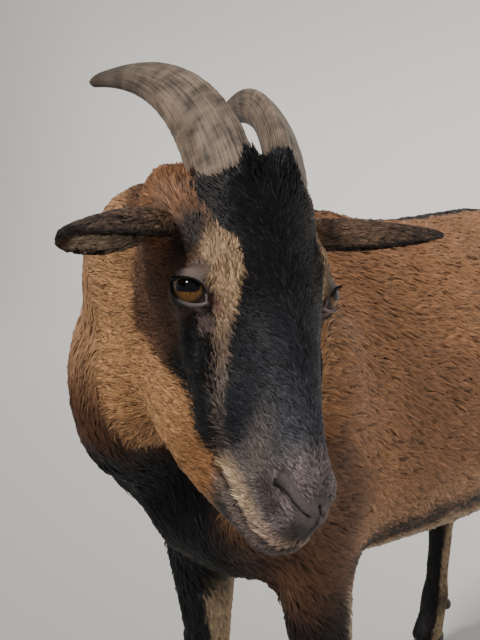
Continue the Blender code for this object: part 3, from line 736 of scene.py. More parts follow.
def belly_line(y):
    """Height where the pale belly begins, highest at the flank."""
    return np.interp(y, (-0.25, -0.10, 0.10, 0.24, 0.34), (0.408, 0.408, 0.415, 0.438, 0.41))


def eye_place(m):
    """How far inside the lids' opening, whether beside the eye, and how far along and above the slit."""
    e, ahead = slit(m)
    along, up, out = eye_frame()
    way = unit(m - eye_centre())
    near = (np.linalg.norm(m - eye_centre(), axis=1) < EYE_REACH) & (ahead > 0.0)
    return e, near, way @ along, way @ up


def bare_skin(h, w):
    """1 where the skin shows: the lids, the inner corner of the eye, the nose and the lips' edges."""
    m = mirrored(h)
    e, near, s, v = eye_place(m)
    top = (1 - ramp(-e, 0.0055, 0.0100)) * (1 - 0.85 * ramp(np.abs(s + 0.22), 0.42, 0.80))
    corner = np.maximum(bump(np.hypot(s - 0.72, v + 0.55), 0.0, 0.27),
                        bump(np.hypot(s - 0.90, v + 0.10), 0.0, 0.20))
    edge = 1 - ramp(-e, 0.0016, 0.0028)
    lid = np.where(near, np.maximum.reduce([np.where(v > 0, top, 0), edge, corner]), 0)
    f = -m[:, 1]
    nose = (1 - ramp(to_line(m, NOSTRIL)[0], 0.0032, 0.0060)) * ramp(f, 0.114, 0.124)
    cleft = 1 - ramp(to_line(m, PHILTRUM)[0], 0.0022, 0.0045)
    pad = ramp(f + 0.6 * np.minimum(m[:, 2] + 0.032, 0), 0.136, 0.147)
    lips = (1 - ramp(to_line(m, MOUTH)[0], 0.0012, 0.0024)) * ramp(f, 0.084, 0.092)
    return np.clip(np.maximum.reduce([lid, nose, cleft, pad, lips]) * share_of(w, "head"), 0, 1)


def head_colour(h, grain):
    """The face: black blaze, pale stripes over the eyes, black stripes under them, golden cheeks, and a dark
    brown temple with the ear's shadow painted on it.
    """
    s = settings()
    gold, pale, black, neck = (np.array(c) for c in (s.gold, s.pale, s.black, s.neck))
    ax, f, z = face_place(h)
    wob = grain * (0.0022 + 0.0040 * ramp(f, 0.025, 0.050))
    arc = ax + crown_line(f) - z + wob
    # the cheek and the temple, the temple dark brown with the ear's painted shadow, meeting the neck's colour
    # behind the jaw
    rgb = mix(mix(TEMPLE_AND_EAR_SHADOW, gold, ramp(-z, 0.030, 0.070)), gold, ramp(-f, 0.050, 0.085))
    rgb = mix(rgb, gold * CHEEK_FRONT, ramp(f, 0.030, 0.075))
    rgb = mix(rgb, (gold + neck) / 2, ramp(-f, 0.055, 0.090) * ramp(-z, 0.0, 0.03))
    # above the golden edge: dark brown with the ear's painted shadow, black in front of the eye
    rgb = mix(rgb, mix(TEMPLE_AND_EAR_SHADOW, black, ramp(f, 0.002, 0.022)), ramp(z + wob - gold_edge(f), -0.003, 0.006))
    rgb = mix(rgb, POLL, ramp(-f, 0.026, 0.040) * ramp(z, -0.030, 0.0))
    patch = bump(np.hypot(f + 0.027, (z - 0.013) * 0.80), 0.0, 0.021) * ramp(ax, 0.036, 0.043)
    rgb = mix(rgb, BROW_PATCH, np.minimum(1.4 * patch, 1))
    # the stripe thins and darkens below the eye
    stripe = (1 - ramp(arc - stripe_edge(f), -0.003, 0.004)) * ramp(f + 0.5 * wob, -0.028, -0.006)
    low = mix(mix(pale, STRIPE_LOW, ramp(f, 0.020, 0.042)), STRIPE_END, ramp(f, 0.042, 0.060))
    rgb = mix(rgb, low, stripe * np.clip(0.94 + 0.30 * grain, 0, 1))
    # the blaze greys towards the nose, its blue-grey partly greying hair and partly a painted sheen, and is
    # wider on the goat's left
    ridge = mix(mix(black, BRIDGE_GREY_AND_SHEEN, ramp(f, 0.020, 0.060)), BRIDGE_END_GREY_AND_SHEEN, ramp(f, 0.062, 0.106))
    wider = 0.009 * (h[:, 0] > 0) * bump(f, 0.0, 0.050)
    rgb = mix(rgb, ridge, 1 - ramp(arc - blaze_edge(f) - wider, -0.003, 0.004))
    rgb = mix(rgb, black, ramp(-f, 0.082, 0.096) * (1 - ramp(ax, 0.013, 0.021)))
    # the muzzle: grey sides, a dusky nose, a dark wedge behind the nostril and pale lips
    grey = ramp(f + 0.25 * (z + 0.045), 0.082, 0.104) * ramp(arc, 0.02, 0.06)
    rgb = mix(rgb, MUZZLE, grey * 0.9)
    rgb = mix(rgb, NOSE, ramp(f + 0.3 * np.minimum(z + 0.03, 0), 0.108, 0.126) * 0.85)
    m = mirrored(h)
    rgb = mix(rgb, WEDGE, (0.80 + 0.20 * grain) * bump(to_line(m, NOSTRIL_WEDGE)[0], 0.001, 0.0120))
    rgb = mix(rgb, NOSE_FRONT, ramp(f, 0.142, 0.149) * ramp(-z, 0.030, 0.040))
    d = to_line(m, MOUTH)[0]
    over = z > mouth_height(f)
    upper = bump(d, 0.0040, 0.0120) * (0.85 + 0.25 * grain) * over * ramp(f, 0.084, 0.096)
    rgb = mix(rgb, mix(LIP, LIP_FRONT, ramp(f, 0.115, 0.140)), upper)
    lower = ramp(f + 0.4 * (z + 0.075), 0.088, 0.104) * (~over) * ramp(d, 0.0, 0.0015)
    return mix(rgb, mix(JAW, JAW_LOW, ramp(d, 0.007, 0.016)), lower)


def bare_colour(h, rgb, w):
    """The colours of the lids over the coat's, with painted shade in the nostrils, the cleft and the mouth's
    line.
    """
    m = mirrored(h)
    e, near, s, v = eye_place(m)
    rgb = np.where(near[:, None], mix(rgb, LID, bare_skin(h, w)), rgb)
    rgb = mix(rgb, EYE_CORNER, bump(np.hypot(s - 0.90, v + 0.12), 0.0, 0.24) * near)
    under = ramp(e, -0.0046, -0.0036) * near * (1 - ramp(v, 0.02, 0.20)) * (1 - ramp(s, 0.20, 0.50))
    rgb = mix(rgb, UNDER_EYE, under)
    rgb = mix(rgb, LID_RIM, ramp(e, -0.0017, -0.0009) * near)
    # painted highlight along the wet inner edge of the lower lid
    rgb = mix(rgb, LID_EDGE_HIGHLIGHT, bump(e, -0.0005, 0.0010) * near * (v < 0.1) * ramp(s, -0.25, 0.15))
    # painted shade in the nostril's hole and slit
    d, t = to_line(m, NOSTRIL)
    hole = 0.0006 + 0.0022 * bump(t, 0.14, 0.26)
    rgb = mix(rgb, NOSTRIL_SHADE, 1 - ramp(d, hole * 0.6, hole + 0.0006))
    # painted shade in the cleft of the upper lip
    rgb = mix(rgb, CLEFT_SHADE, 1 - ramp(to_line(m, PHILTRUM)[0], 0.0004, 0.0014))
    # painted shade along the line of the mouth
    d, t = to_line(m, MOUTH)
    return mix(rgb, MOUTH_SHADE, (1 - ramp(d, 0.0004, 0.0013)) * ramp(t, 0.0, 0.1))


def ear_colour(h):
    """Brown flecked with black on the ear's back, pale inside at the base and dark inside towards the tip,
    partly dark hair and partly painted shade of the ear's hollow, and dark at the rim and tip.
    """
    t, turn, out = ear_place(h)
    flecks = 0.55 * ramp(noise(h, 0.0030, 5), -0.5, 0.7) + 0.6 * ramp(t, 0.2, 0.8)
    back = mix(EAR_OUTER, EAR_FLECKS, np.clip(flecks, 0, 1) * ramp(t, 0.0, 0.3))
    # inside, darker towards the tip: dark hair and painted shade of the hollow
    inner = mix(EAR_INNER, EAR_TIP_AND_SHADE, ramp(t + 0.06 * noise(h, 0.0040, 6), 0.58, 0.84))
    rim = np.maximum(ramp(np.abs(turn), 0.84, 0.94), ramp(t, 0.86, 0.95)) * ramp(t, 0.12, 0.3)
    return mix(mix(inner, back, ramp(out, -0.0006, 0.0006)), EAR_RIM, rim)


def painted(h, co, normal, w, grain):
    """The coat's colour at each point, from its place on the head and in the world."""
    s = settings()
    black, chestnut, tan, belly = (np.array(c) for c in (s.black, s.chestnut, s.tan, s.belly))
    gold, neck = np.array(s.gold), np.array(s.neck)
    x, y, z = co.T
    wob = noise(co, 0.030, 3) * 0.010 + grain * 0.006
    aside = np.abs(x - work["spine"])
    spine = (1 - ramp(aside + 0.4 * wob, 0.007, 0.017)) * ramp(normal[:, 2], 0.3, 0.7)
    # the low front of the chest: black, and browner on the goat's left; the black reaches higher and the
    # brown is darker as painted shade of the head
    brisket = (ramp(0.588 - z + 0.6 * wob, 0.0, 0.045)
               * ramp(-0.150 - y - 0.42 * (z - 0.40) + wob, -0.02, 0.05)
               * ramp(0.30 - normal[:, 1], 0.0, 0.5))
    front = mix(black, CHEST_FRONT_AND_SHADE, 0.9 * ramp(x + wob, 0.000, 0.050) * ramp(z, 0.36, 0.44))
    # the neck: golden next to the cheek, chestnut towards the trunk and dark low down, partly as painted
    # shade of the head
    nape = (1 - ramp(np.linalg.norm(h, axis=1), 0.11, 0.20)) * ramp(-h[:, 2], -0.02, 0.03)
    neck = mix(mix(neck, (gold + neck) / 2, nape), chestnut, ramp(y, -0.30, -0.16))
    neck = mix(neck, NECK_LOW_AND_SHADE, ramp(0.650 - z + wob, 0.0, 0.06) * ramp(-0.16 - y, 0, 0.06))
    neck = mix(mix(neck, black, spine), front, brisket)
    # the trunk: stripe along the spine, a dark band low on the flank, pale belly
    low = belly_line(y) + wob
    trunk = mix(chestnut, RUST, ramp(noise(co, 0.11, 8), -0.3, 0.5))
    trunk = mix(trunk, FLANK, ramp(low + 0.10 - z, 0.0, 0.06) * 0.5)
    trunk = mix(trunk, belly, ramp(low - z, -0.004, 0.012))
    trunk = mix(trunk, black, 0.93 * bump(z, low + 0.018, 0.028) * ramp(aside, 0.03, 0.07))
    trunk = mix(mix(trunk, black, spine), front, brisket)
    # the legs: black down the front and at the fetlocks, pale behind and inside
    shin = ramp(-normal[:, 1] + 0.35 * np.abs(normal[:, 0]) * np.sign(x * normal[:, 0]), 0.10, 0.50)
    leg = mix(mix(tan, black, shin * ramp(0.46 - z, 0.0, 0.05)), black, bump(z, 0.105, 0.030) * 0.7)
    leg = mix(leg, trunk, ramp(z, 0.36, 0.46))
    tail = mix(belly, black, ramp(normal[:, 2], -0.3, 0.1))
    total = by_part(w, head=head_colour(h, grain), neck=neck, trunk=trunk, leg=leg, tail=tail,
                    ear=ear_colour(h))
    return bare_colour(h, total, w)


# ---------------------------------------------------------------- the coat
def hair_length(h, co, w):
    """Shortest on the nose and round the eyes, longest on the trunk and tail."""
    s = settings()
    ax, f, z = face_place(h)
    face = s.face_hair * (1 + 0.55 * ramp(-z, 0.035, 0.075) - 0.45 * ramp(f, 0.07, 0.125))
    face = face * (1 + 1.7 * ramp(-f, 0.008, 0.050) * ramp(z, 0.0, 0.02))
    face = face * (1 + 0.9 * ramp(-f, 0.045, 0.090) * ramp(-z, -0.01, 0.02))
    from_eye = np.linalg.norm(mirrored(h) - eye_centre(), axis=1)
    face = face * (1 - 0.45 * (1 - ramp(from_eye, 0.019, 0.034)))
    t, turn, out = ear_place(h)
    ear = np.where(out < 0, 0.014 * (1 - 0.55 * t), 0.0055)
    leg = s.leg_hair * (0.75 + 0.6 * ramp(co[:, 2], 0.10, 0.40))
    trunk = s.body_hair * (1 + 0.25 * ramp(0.42 - co[:, 2], 0.0, 0.06))
    return by_part(w, head=face, neck=s.neck_hair, trunk=trunk, tail=0.032, leg=leg, ear=ear)


def hair_gap(h, w):
    """Distance between neighbouring tufts."""
    face = 0.00112 * (1 - 0.12 * ramp(-h[:, 1], 0.06, 0.12) + 0.25 * ramp(h[:, 1], 0.06, 0.10))
    return by_part(w, head=face, neck=0.0019, chest=0.0027, trunk=0.0033, tail=0.0026, leg=0.0026, ear=0.0015)


def scatter(chosen, seed):
    """Roots at random over the chosen triangles: which triangle, where in it, and the numbers' source."""
    rng = np.random.default_rng(seed)
    tri, h, w = work["tri"], work["unsculpted"], work["weights"]
    a, b, c = (work["co"][tri[:, k]] for k in range(3))
    area = np.linalg.norm(np.cross(b - a, c - a), axis=1) / 2
    gap, bare = hair_gap(h, w)[tri].mean(1), bare_skin(h, w)[tri].mean(1)
    count = rng.poisson(area / gap ** 2 * chosen[tri].mean(1) * (1 - ramp(bare, 0.35, 0.7)))
    face = np.repeat(np.arange(len(tri)), count)
    r1, r2 = np.sqrt(rng.random(len(face))), rng.random(len(face))
    bary = np.stack([1 - r1, r1 * (1 - r2), r1 * r2], 1)
    order = rng.permutation(len(face))
    return face[order], bary[order], rng


def at_roots(name, face, bary):
    """One of the skin's arrays, read at each root."""
    values = work[name][work["tri"][face]]
    return (values * bary[:, :, None]).sum(1)


def make_tufts(name, chosen, seed, lift=0.16):
    """One region of the coat, as joined meshes of thin ridged blades."""
    face, bary, rng = scatter(chosen, seed)
    fat = 1.0
    if not len(face):
        return
    root, normal = at_roots("co", face, bary), unit(at_roots("normal", face, bary))
    h, w = at_roots("unsculpted", face, bary), at_roots("weights", face, bary)
    fine, broad = noise(root, 0.0045, seed + 1), noise(root, 0.018, seed + 2)
    points = blades(root, normal, at_roots("lie", face, bary), h, w, fine, broad, rng, lift, fat)
    rgb = blade_colours(root, normal, h, w, fine, rng)
    patch = np.clip((work["uv"][face] * bary[:, :, None]).sum(1), 0.002, 0.998)
    for k, start in enumerate(range(0, len(root), PIECE_TUFTS)):
        part = slice(start, start + PIECE_TUFTS)
        piece = f"{name}_{k + 1}" if len(root) > PIECE_TUFTS else name
        tuft_piece(piece, points[part], rgb[part], patch[part])


def blades(root, normal, way, h, w, fine, broad, rng, lift, fat):
    """The seven points of each tuft, which leaves the skin at its root and bends over to it."""
    count = len(root)
    length = hair_length(h, root, w) * rng.uniform(0.72, 1.22, count)
    # locks: neighbours turn together, and each tuft a little on its own
    turn = np.where(share_of(w, "head", "ear") > 0.5, 0.30 * fine + 0.22 * broad, 0.30 * broad)
    turn = turn + rng.normal(0, 0.15, count)
    side = np.cross(way, normal)
    way = unit(way * np.cos(turn)[:, None] + side * np.sin(turn)[:, None])
    side = unit(np.cross(way, normal))
    poll = ramp(h[:, 1], 0.010, 0.040) * ramp(h[:, 2], 0.010, 0.025) * share_of(w, "head")
    rise = lift * (1 + 0.5 * fine + 0.8 * poll) * rng.uniform(0.6, 1.4, count)
    reach, out = np.empty((count, 3)), np.empty((count, 3))
    for i, aim in enumerate(root + way * length[:, None]):
        reach[i], out[i] = work["tree"].find_nearest(Vector(aim))[:2]
    out = unit(out + normal * 0.6)
    tip = reach + out * (length * rise * 0.55)[:, None]
    middle = (root + tip) / 2 + unit(out + normal) * (length * rise * 0.38)[:, None]
    half = hair_gap(h, w) * fat * rng.uniform(0.42, 0.62, count)
    half = np.minimum(half, length * 0.16)[:, None]
    edge, ridge, under = side * half, normal * half * 0.55, normal * half * 0.2
    sunk = normal * (0.0003 + half * 0.15)
    return np.stack([root - edge * 0.8 - sunk, root + ridge - sunk * 0.3, root + edge * 0.8 - sunk,
                     middle - edge - under, middle + ridge * 0.9, middle + edge - under, tip], 1)


def blade_colours(root, normal, h, w, fine, rng):
    """The marking at each tuft, a little varied, with a much darker or paler tuft here and there."""
    count = len(root)
    tone = painted(h, root, normal, w, rng.uniform(-1, 1, count))
    spread = np.where(share_of(w, "head", "ear") > 0.5, 0.24, 0.14)
    vary = np.exp(rng.normal(0, 1, count) * spread + 0.10 * fine)
    stray = rng.random(count)[:, None]
    on_face = share_of(w, "head")[:, None] > 0.5
    light = tone.mean(1, keepdims=True)
    tone = np.where(stray < np.where(on_face, 0.16, 0.07), tone * 0.50, tone)
    paler = tone * 1.25 + np.where(light < 0.03, 0.014, 0.006)
    tone = np.where(stray > np.where(on_face, 0.88, 0.95), paler, tone)
    return (tone * vary[:, None])[:, None] * BLADE_SHADE[None, :, None]


def tuft_piece(name, points, rgb, patch):
    """One mesh of blades, each with seven points, their colours and its patch of the skin's unwrap."""
    count = len(points)
    faces = (np.arange(count)[:, None, None] * 7 + BLADE[None]).reshape(-1, 3)
    mesh = bpy.data.meshes.new(name)
    mesh.vertices.add(count * 7)
    mesh.vertices.foreach_set("co", np.ascontiguousarray(points, dtype=float).ravel())
    mesh.loops.add(len(faces) * 3)
    mesh.loops.foreach_set("vertex_index", faces.ravel())
    mesh.polygons.add(len(faces))
    mesh.polygons.foreach_set("loop_start", np.arange(len(faces)) * 3)
    mesh.polygons.foreach_set("use_smooth", np.ones(len(faces), bool))
    uv = (patch[:, None] + PATCH[None]).reshape(-1, 2)
    mesh.uv_layers.new(name="OFBake").data.foreach_set("uv", uv[faces.ravel()].ravel())
    write_colour(mesh, rgb.reshape(-1, 3))
    mesh.update(calc_edges=True)
    mesh.materials.append(coat_material())
    ob = new_object(name, mesh)
    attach(ob, "root")


# ---------------------------------------------------------------- materials
def new_material(name):
    """The material, its nodes and its shader, or no nodes if it was there already."""
    mat = bpy.data.materials.get(name)
    if mat:
        return mat, None, None
    mat = bpy.data.materials.new(name)
    mat.use_nodes = True
    nodes = mat.node_tree.nodes
    return mat, nodes, nodes["Principled BSDF"]


def feed(node, sockets):
    """Gives each socket its value, or links it to the output that feeds it."""
    for key, value in sockets.items():
        if isinstance(value, bpy.types.NodeSocket):
            node.id_data.links.new(value, node.inputs[key])
        else:
            node.inputs[key].default_value = value


def add(nodes, kind, sockets=None, **values):
    node = nodes.new(f"ShaderNode{kind}")
    for key, value in values.items():
        setattr(node, key, value)
    feed(node, sockets or {})
    return node


def maths(nodes, operation, *values):
    return add(nodes, "Math", dict(enumerate(values)), operation=operation).outputs[0]


def weighed(nodes, **shares):
    """Adds up textures by their shares, given as (output, share)."""
    total = None
    for output, share in shares.values():
        part = maths(nodes, "MULTIPLY", output, share)
        total = maths(nodes, "ADD", total, part) if total else part
    return total


def grain_of(nodes, where, scale, detail, **values):
    """A noise texture's node."""
    return add(nodes, "TexNoise", {"Vector": where, "Scale": scale, "Detail": detail}, **values)


def two_tone(nodes, value, low, dark, high, light):
    """A colour that runs from dark to light as the value goes from low to high."""
    tone = add(nodes, "ValToRGB", {"Fac": value})
    for stop, spot, colour in zip(tone.color_ramp.elements, (low, high), (dark, light)):
        stop.position, stop.color = spot, (*colour, 1)
    return tone.outputs["Color"]


def span(nodes, value, low, high, top=1.0):
    """Maps a value between low and high to between 0 and top."""
    sockets = {"Value": value, "From Min": low, "From Max": high, "To Max": top}
    return add(nodes, "MapRange", sockets).outputs["Result"]


def layered(nodes, lower, upper, share, **values):
    """One colour over another, by a share."""
    node = add(nodes, "Mix", data_type="RGBA", **values)
    feed(node, {"A": lower, "B": upper, "Factor": share})
    return node.outputs["Result"]


def relief(nodes, height, strength, distance):
    sockets = {"Strength": strength, "Distance": distance, "Height": height}
    return add(nodes, "Bump", sockets).outputs["Normal"]


def coat_material():
    """Hair: the colour of each tuft, a low sheen and no bump."""
    mat, nodes, shader = new_material("goat_hair")
    if nodes:
        colour = add(nodes, "Attribute", attribute_name="coat").outputs["Color"]
        feed(shader, {"Base Color": colour, "Roughness": 0.44, "Specular IOR Level": 0.20})
    return mat


def skin_material():
    """Skin under the coat: the same markings, with pores and fine hair as bump."""
    mat, nodes, shader = new_material("goat_skin")
    if nodes:
        colour = add(nodes, "Attribute", attribute_name="coat").outputs["Color"]
        grain = grain_of(nodes, add(nodes, "TexCoord").outputs["Object"], 900.0, 4.0)
        feed(shader, {
            "Base Color": layered(nodes, colour, grain.outputs["Color"], 0.55, blend_type="MULTIPLY"),
            "Normal": relief(nodes, grain.outputs["Fac"], 0.8, 0.0014),
            "Roughness": 0.50, "Specular IOR Level": 0.30})
    return mat


def eye_material(side, centre, turn):
    """Amber iris with a level slot for a pupil, a dark ring round it, and a wet surface."""
    s = settings()
    mat, nodes, shader = new_material(f"goat_eye_{side}")
    local = add(nodes, "Mapping", {"Vector": add(nodes, "TexCoord").outputs["Object"], "Location": centre,
                                   "Rotation": turn.to_euler()}, vector_type="TEXTURE")
    split = add(nodes, "SeparateXYZ", {"Vector": local.outputs["Vector"]})
    x, y = split.outputs["X"], split.outputs["Y"]
    squares = maths(nodes, "ADD", maths(nodes, "MULTIPLY", x, x), maths(nodes, "MULTIPLY", y, y))
    radius, angle = maths(nodes, "SQRT", squares), maths(nodes, "ARCTAN2", y, x)
    ray = add(nodes, "CombineXYZ", {"X": maths(nodes, "MULTIPLY", maths(nodes, "SINE", angle), 7.0),
                                    "Y": maths(nodes, "MULTIPLY", maths(nodes, "COSINE", angle), 7.0),
                                    "Z": maths(nodes, "MULTIPLY", radius, 160.0)})
    flecks = grain_of(nodes, ray.outputs["Vector"], 1.6, 5.0).outputs["Fac"]
    iris = two_tone(nodes, flecks, 0.30, s.iris_dark, 0.66, s.iris)
    wide = maths(nodes, "POWER", maths(nodes, "ABSOLUTE", maths(nodes, "DIVIDE", x, s.pupil_width / 2)), 4.0)
    tall = maths(nodes, "POWER", maths(nodes, "ABSOLUTE", maths(nodes, "DIVIDE", y, s.pupil_height / 2)), 2.6)
    slot = maths(nodes, "SUBTRACT", maths(nodes, "ADD", wide, tall), 1.0)
    # from the middle out: pupil, iris, a dark ring and the dark white of the eye
    colour = layered(nodes, PUPIL_BLACK, iris, span(nodes, slot, -0.12, 0.12))
    colour = layered(nodes, colour, IRIS_EDGE, span(nodes, radius, 0.0086, 0.0101))
    colour = layered(nodes, colour, EYE_WHITE, span(nodes, radius, 0.0108, 0.0120))
    feed(shader, {"Base Color": colour, "Roughness": 0.035, "IOR": 1.38})
    return mat


def horn_material(side):
    """Taupe horn: fine lengthwise streaks, mottle, faint rings and a darker tip."""
    s = settings()
    mat, nodes, shader = new_material(f"goat_horn_{side}")
    where = add(nodes, "UVMap", uv_map="OFBake").outputs["UV"]

    def stretched(across, along, detail):
        sockets = {0: where, 1: (across, along, 1.0)}
        scaled = add(nodes, "VectorMath", sockets, operation="MULTIPLY").outputs["Vector"]
        return grain_of(nodes, scaled, 1.0, detail, noise_dimensions="2D").outputs["Fac"]

    streaks, rings = stretched(85.0, 4.0, 6.0), stretched(7.0, 70.0, 3.0)
    mottle = grain_of(nodes, add(nodes, "TexCoord").outputs["Object"], 75.0, 4.0).outputs["Fac"]
    tone = weighed(nodes, streaks=(streaks, 0.42), mottle=(mottle, 0.52), rings=(rings, 0.06))
    height = weighed(nodes, streaks=(streaks, 0.42), mottle=(mottle, 0.52), rings=(rings, 0.45))
    colour = two_tone(nodes, tone, 0.38, [c * 0.34 for c in s.horn], 0.60, [min(1, c * 1.45) for c in s.horn])
    far_up = add(nodes, "SeparateXYZ", {"Vector": where}).outputs["Y"]
    feed(shader, {
        "Base Color": layered(nodes, colour, (*s.horn_tip, 1), span(nodes, far_up, 0.45, 0.98, 0.85)),
        "Normal": relief(nodes, height, 0.9, 0.0020), "Roughness": 0.55, "Specular IOR Level": 0.35})
    return mat


def hoof_material():
    """Dark horn with fine level bands."""
    mat, nodes, shader = new_material("goat_hoof")
    if nodes:
        bands = add(nodes, "Mapping", {"Vector": add(nodes, "TexCoord").outputs["Object"],
                                       "Scale": (30.0, 30.0, 420.0)}).outputs["Vector"]
        grain = grain_of(nodes, bands, 1.0, 4.0).outputs["Fac"]
        feed(shader, {
            "Base Color": two_tone(nodes, grain, 0.32, (0.030, 0.025, 0.022), 0.70, (0.120, 0.100, 0.085)),
            "Normal": relief(nodes, grain, 0.4, 0.0008), "Roughness": 0.45})
    return mat


def floor_material():
    mat, nodes, shader = new_material("studio_floor")
    if nodes:
        feed(shader, {"Base Color": FLOOR_COLOUR, "Roughness": 0.75})
    return mat


# ---------------------------------------------------------------- eyes, horns, hooves
def make_eye(side):
    """An eyeball with a clear bulge over the iris."""
    out = Vector(head_way(*on_side(EYE_FACING, side)))
    level = Vector((0, 0, 1)).cross(out).normalized()
    centre, turn = middle_of(f"eye_{side}"), Matrix((level, out.cross(level), out)).transposed()
    bm = bmesh.new()
    bmesh.ops.create_uvsphere(bm, u_segments=64, v_segments=48, radius=EYE_RADIUS)
    for v in bm.verts:
        off = v.co.angle(Vector((0, 0, 1))) / math.radians(CORNEA_HALF)
        v.co = v.co.normalized() * (EYE_RADIUS + CORNEA_RISE * max(0.0, 1 - off ** 2) ** 2)
    bm.transform(Matrix.Translation(centre) @ turn.to_4x4())
    ob = object_from(bm, f"eyeball_{side}", eye_material(side, centre, turn), smooth=True)
    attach(ob, "root")
    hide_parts(f"eye_{side}")


def make_lashes(side):
    """Dark lashes along the upper lid and shorter ones on the lower."""
    rng = np.random.default_rng(7)
    along, up, out = eye_frame()
    shell = EYE_RADIUS + LID_THICK + 0.0003
    points = []
    for above, count, long in ((1, 80, 0.0042), (-1, 22, 0.0016)):
        for s in np.linspace(-0.86, 0.80, count) + rng.normal(0, 0.01, count):
            high, deep = lid_lines(s)
            a = s * SLIT_HALF + SLIT_MIDDLE[0]
            b = (high if above > 0 else -deep) + above * 0.0005 + SLIT_MIDDLE[1]
            root = eye_centre() + along * a + up * b + out * math.sqrt(max(shell ** 2 - a * a - b * b, 1e-8))
            size = long * (0.65 + 0.35 * lid_arch(s)) * rng.uniform(0.75, 1.2)
            way = out * 0.72 + up * above * 0.10 + along * (0.42 * s + rng.normal(0, 0.12))
            way = unit(way + up * rng.normal(0, 0.08))
            droop = up * (-0.35 if above > 0 else 0.1)
            across = unit(np.cross(way, up)) * 0.00030
            lift = unit(np.cross(across, way)) * 0.0002
            mid = root + way * size * 0.55
            tip = root + way * size + droop * size * 0.5
            points.append([root - across, root + lift, root + across, mid - across * 0.7, mid + lift * 0.7,
                           mid + across * 0.7, tip])
    points = np.array(points)
    points[:, :, 0] *= SIDES[side]
    world = in_world(points)
    patch = np.array([nearest_patch(p) for p in world[:, 1]])
    tuft_piece(f"lashes_{side}", world, np.full(world.shape, LASH_GREY), patch)


def nearest_patch(spot):
    """The skin's own place in its unwrap nearest to this point."""
    return work["uv"][work["tree"].find_nearest(Vector(spot))[2]].mean(0)


def horn_line(side, buried=0):
    """Walks up the horn: how far along, the middle there, along it, to its keel, across it and its size."""
    at = HORN_BASE.copy()
    step = HORN_LENGTH / HORN_STEPS
    twist = math.radians(HORN_TWIST)
    for i in range(-buried, HORN_STEPS + 1):
        t = max(0, i) / HORN_STEPS
        rise = math.radians(HORN_RISE[side] - HORN_CURL[side] * t)
        out = math.radians(HORN_OUT[side] + HORN_SPREAD[side] * t * (0.6 + 0.4 * t))
        along = Vector((math.sin(out), math.cos(rise) * math.cos(out), math.sin(rise) * math.cos(out)))
        fore = Vector((0, -math.sin(rise), math.cos(rise)))
        across = along.cross(fore).normalized()
        fore = across.cross(along).normalized()
        keel = fore * math.cos(twist) - Vector((1, 0, 0)) * math.sin(twist)
        keel = (keel - along * keel.dot(along)).normalized()
        shrink = (1 - 0.76 * t ** 1.4) * (1 - 0.75 * max(0.0, (t - 0.955) / 0.045) ** 2)
        under = max(-i, 0)
        yield (t, at - along * (0.0030 * under), along, keel, keel.cross(along).normalized(),
               shrink * (1 - 0.045 * under ** 1.6))
        if i >= 0:
            at = at + along * step


def horn_edge(keel, flat, a):
    """From the horn's middle to its surface at this angle from the keel, at the base's size."""
    front = max(0.0, math.cos(a))
    depth = HORN_DEPTH / 2 * math.cos(a) * (1 + 0.10 * front ** 6)
    return keel * depth + flat * (HORN_WIDTH / 2 * math.sin(a) * (1.10 - 0.34 * front))


def make_horn(side):
    """A finer horn on the solid's own curve, with shallow growth rings."""
    shape = (Matrix.Translation(work["origin"]) @ work["turn"].to_4x4()
             @ Matrix.Scale(SIDES[side], 4, (1, 0, 0)))
    bm = bmesh.new()
    layer = bm.loops.layers.uv.new("OFBake")
    around = [2 * math.pi * k / HORN_SIDES for k in range(HORN_SIDES)]
    rings = []
    for t, at, along, keel, flat, shrink in horn_line(side, HORN_BURIED):
        ridge = 1 + (0.010 * math.sin(2 * math.pi * (t * 17 + 0.4 * math.sin(t * 23)))
                     + 0.006 * math.sin(2 * math.pi * t * 41)) * (1 - t) ** 0.7
        ring = [shape @ (at + horn_edge(keel, flat, a) * shrink * ridge) for a in around]
        rings.append((t, [bm.verts.new(spot) for spot in ring]))
    for (t0, a), (t1, b) in zip(rings, rings[1:]):
        for k in range(HORN_SIDES):
            j = (k + 1) % HORN_SIDES
            face = bm.faces.new((a[k], a[j], b[j], b[k]))
            face.smooth = True
            for loop, (u, v) in zip(face.loops, ((k, t0), (k + 1, t0), (k + 1, t1), (k, t1))):
                loop[layer].uv = (u / HORN_SIDES * 0.98 + 0.01, v * 0.98 + 0.01)
    for t, ring in (rings[0], rings[-1]):
        face = bm.faces.new(ring)
        for loop in face.loops:
            loop[layer].uv = (0.5, t * 0.98 + 0.01)
    bmesh.ops.recalc_face_normals(bm, faces=bm.faces)
    ob = object_from(bm, f"fine_horn_{side}", horn_material(side))
    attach(ob, "root")
    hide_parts(f"horn_{side}")


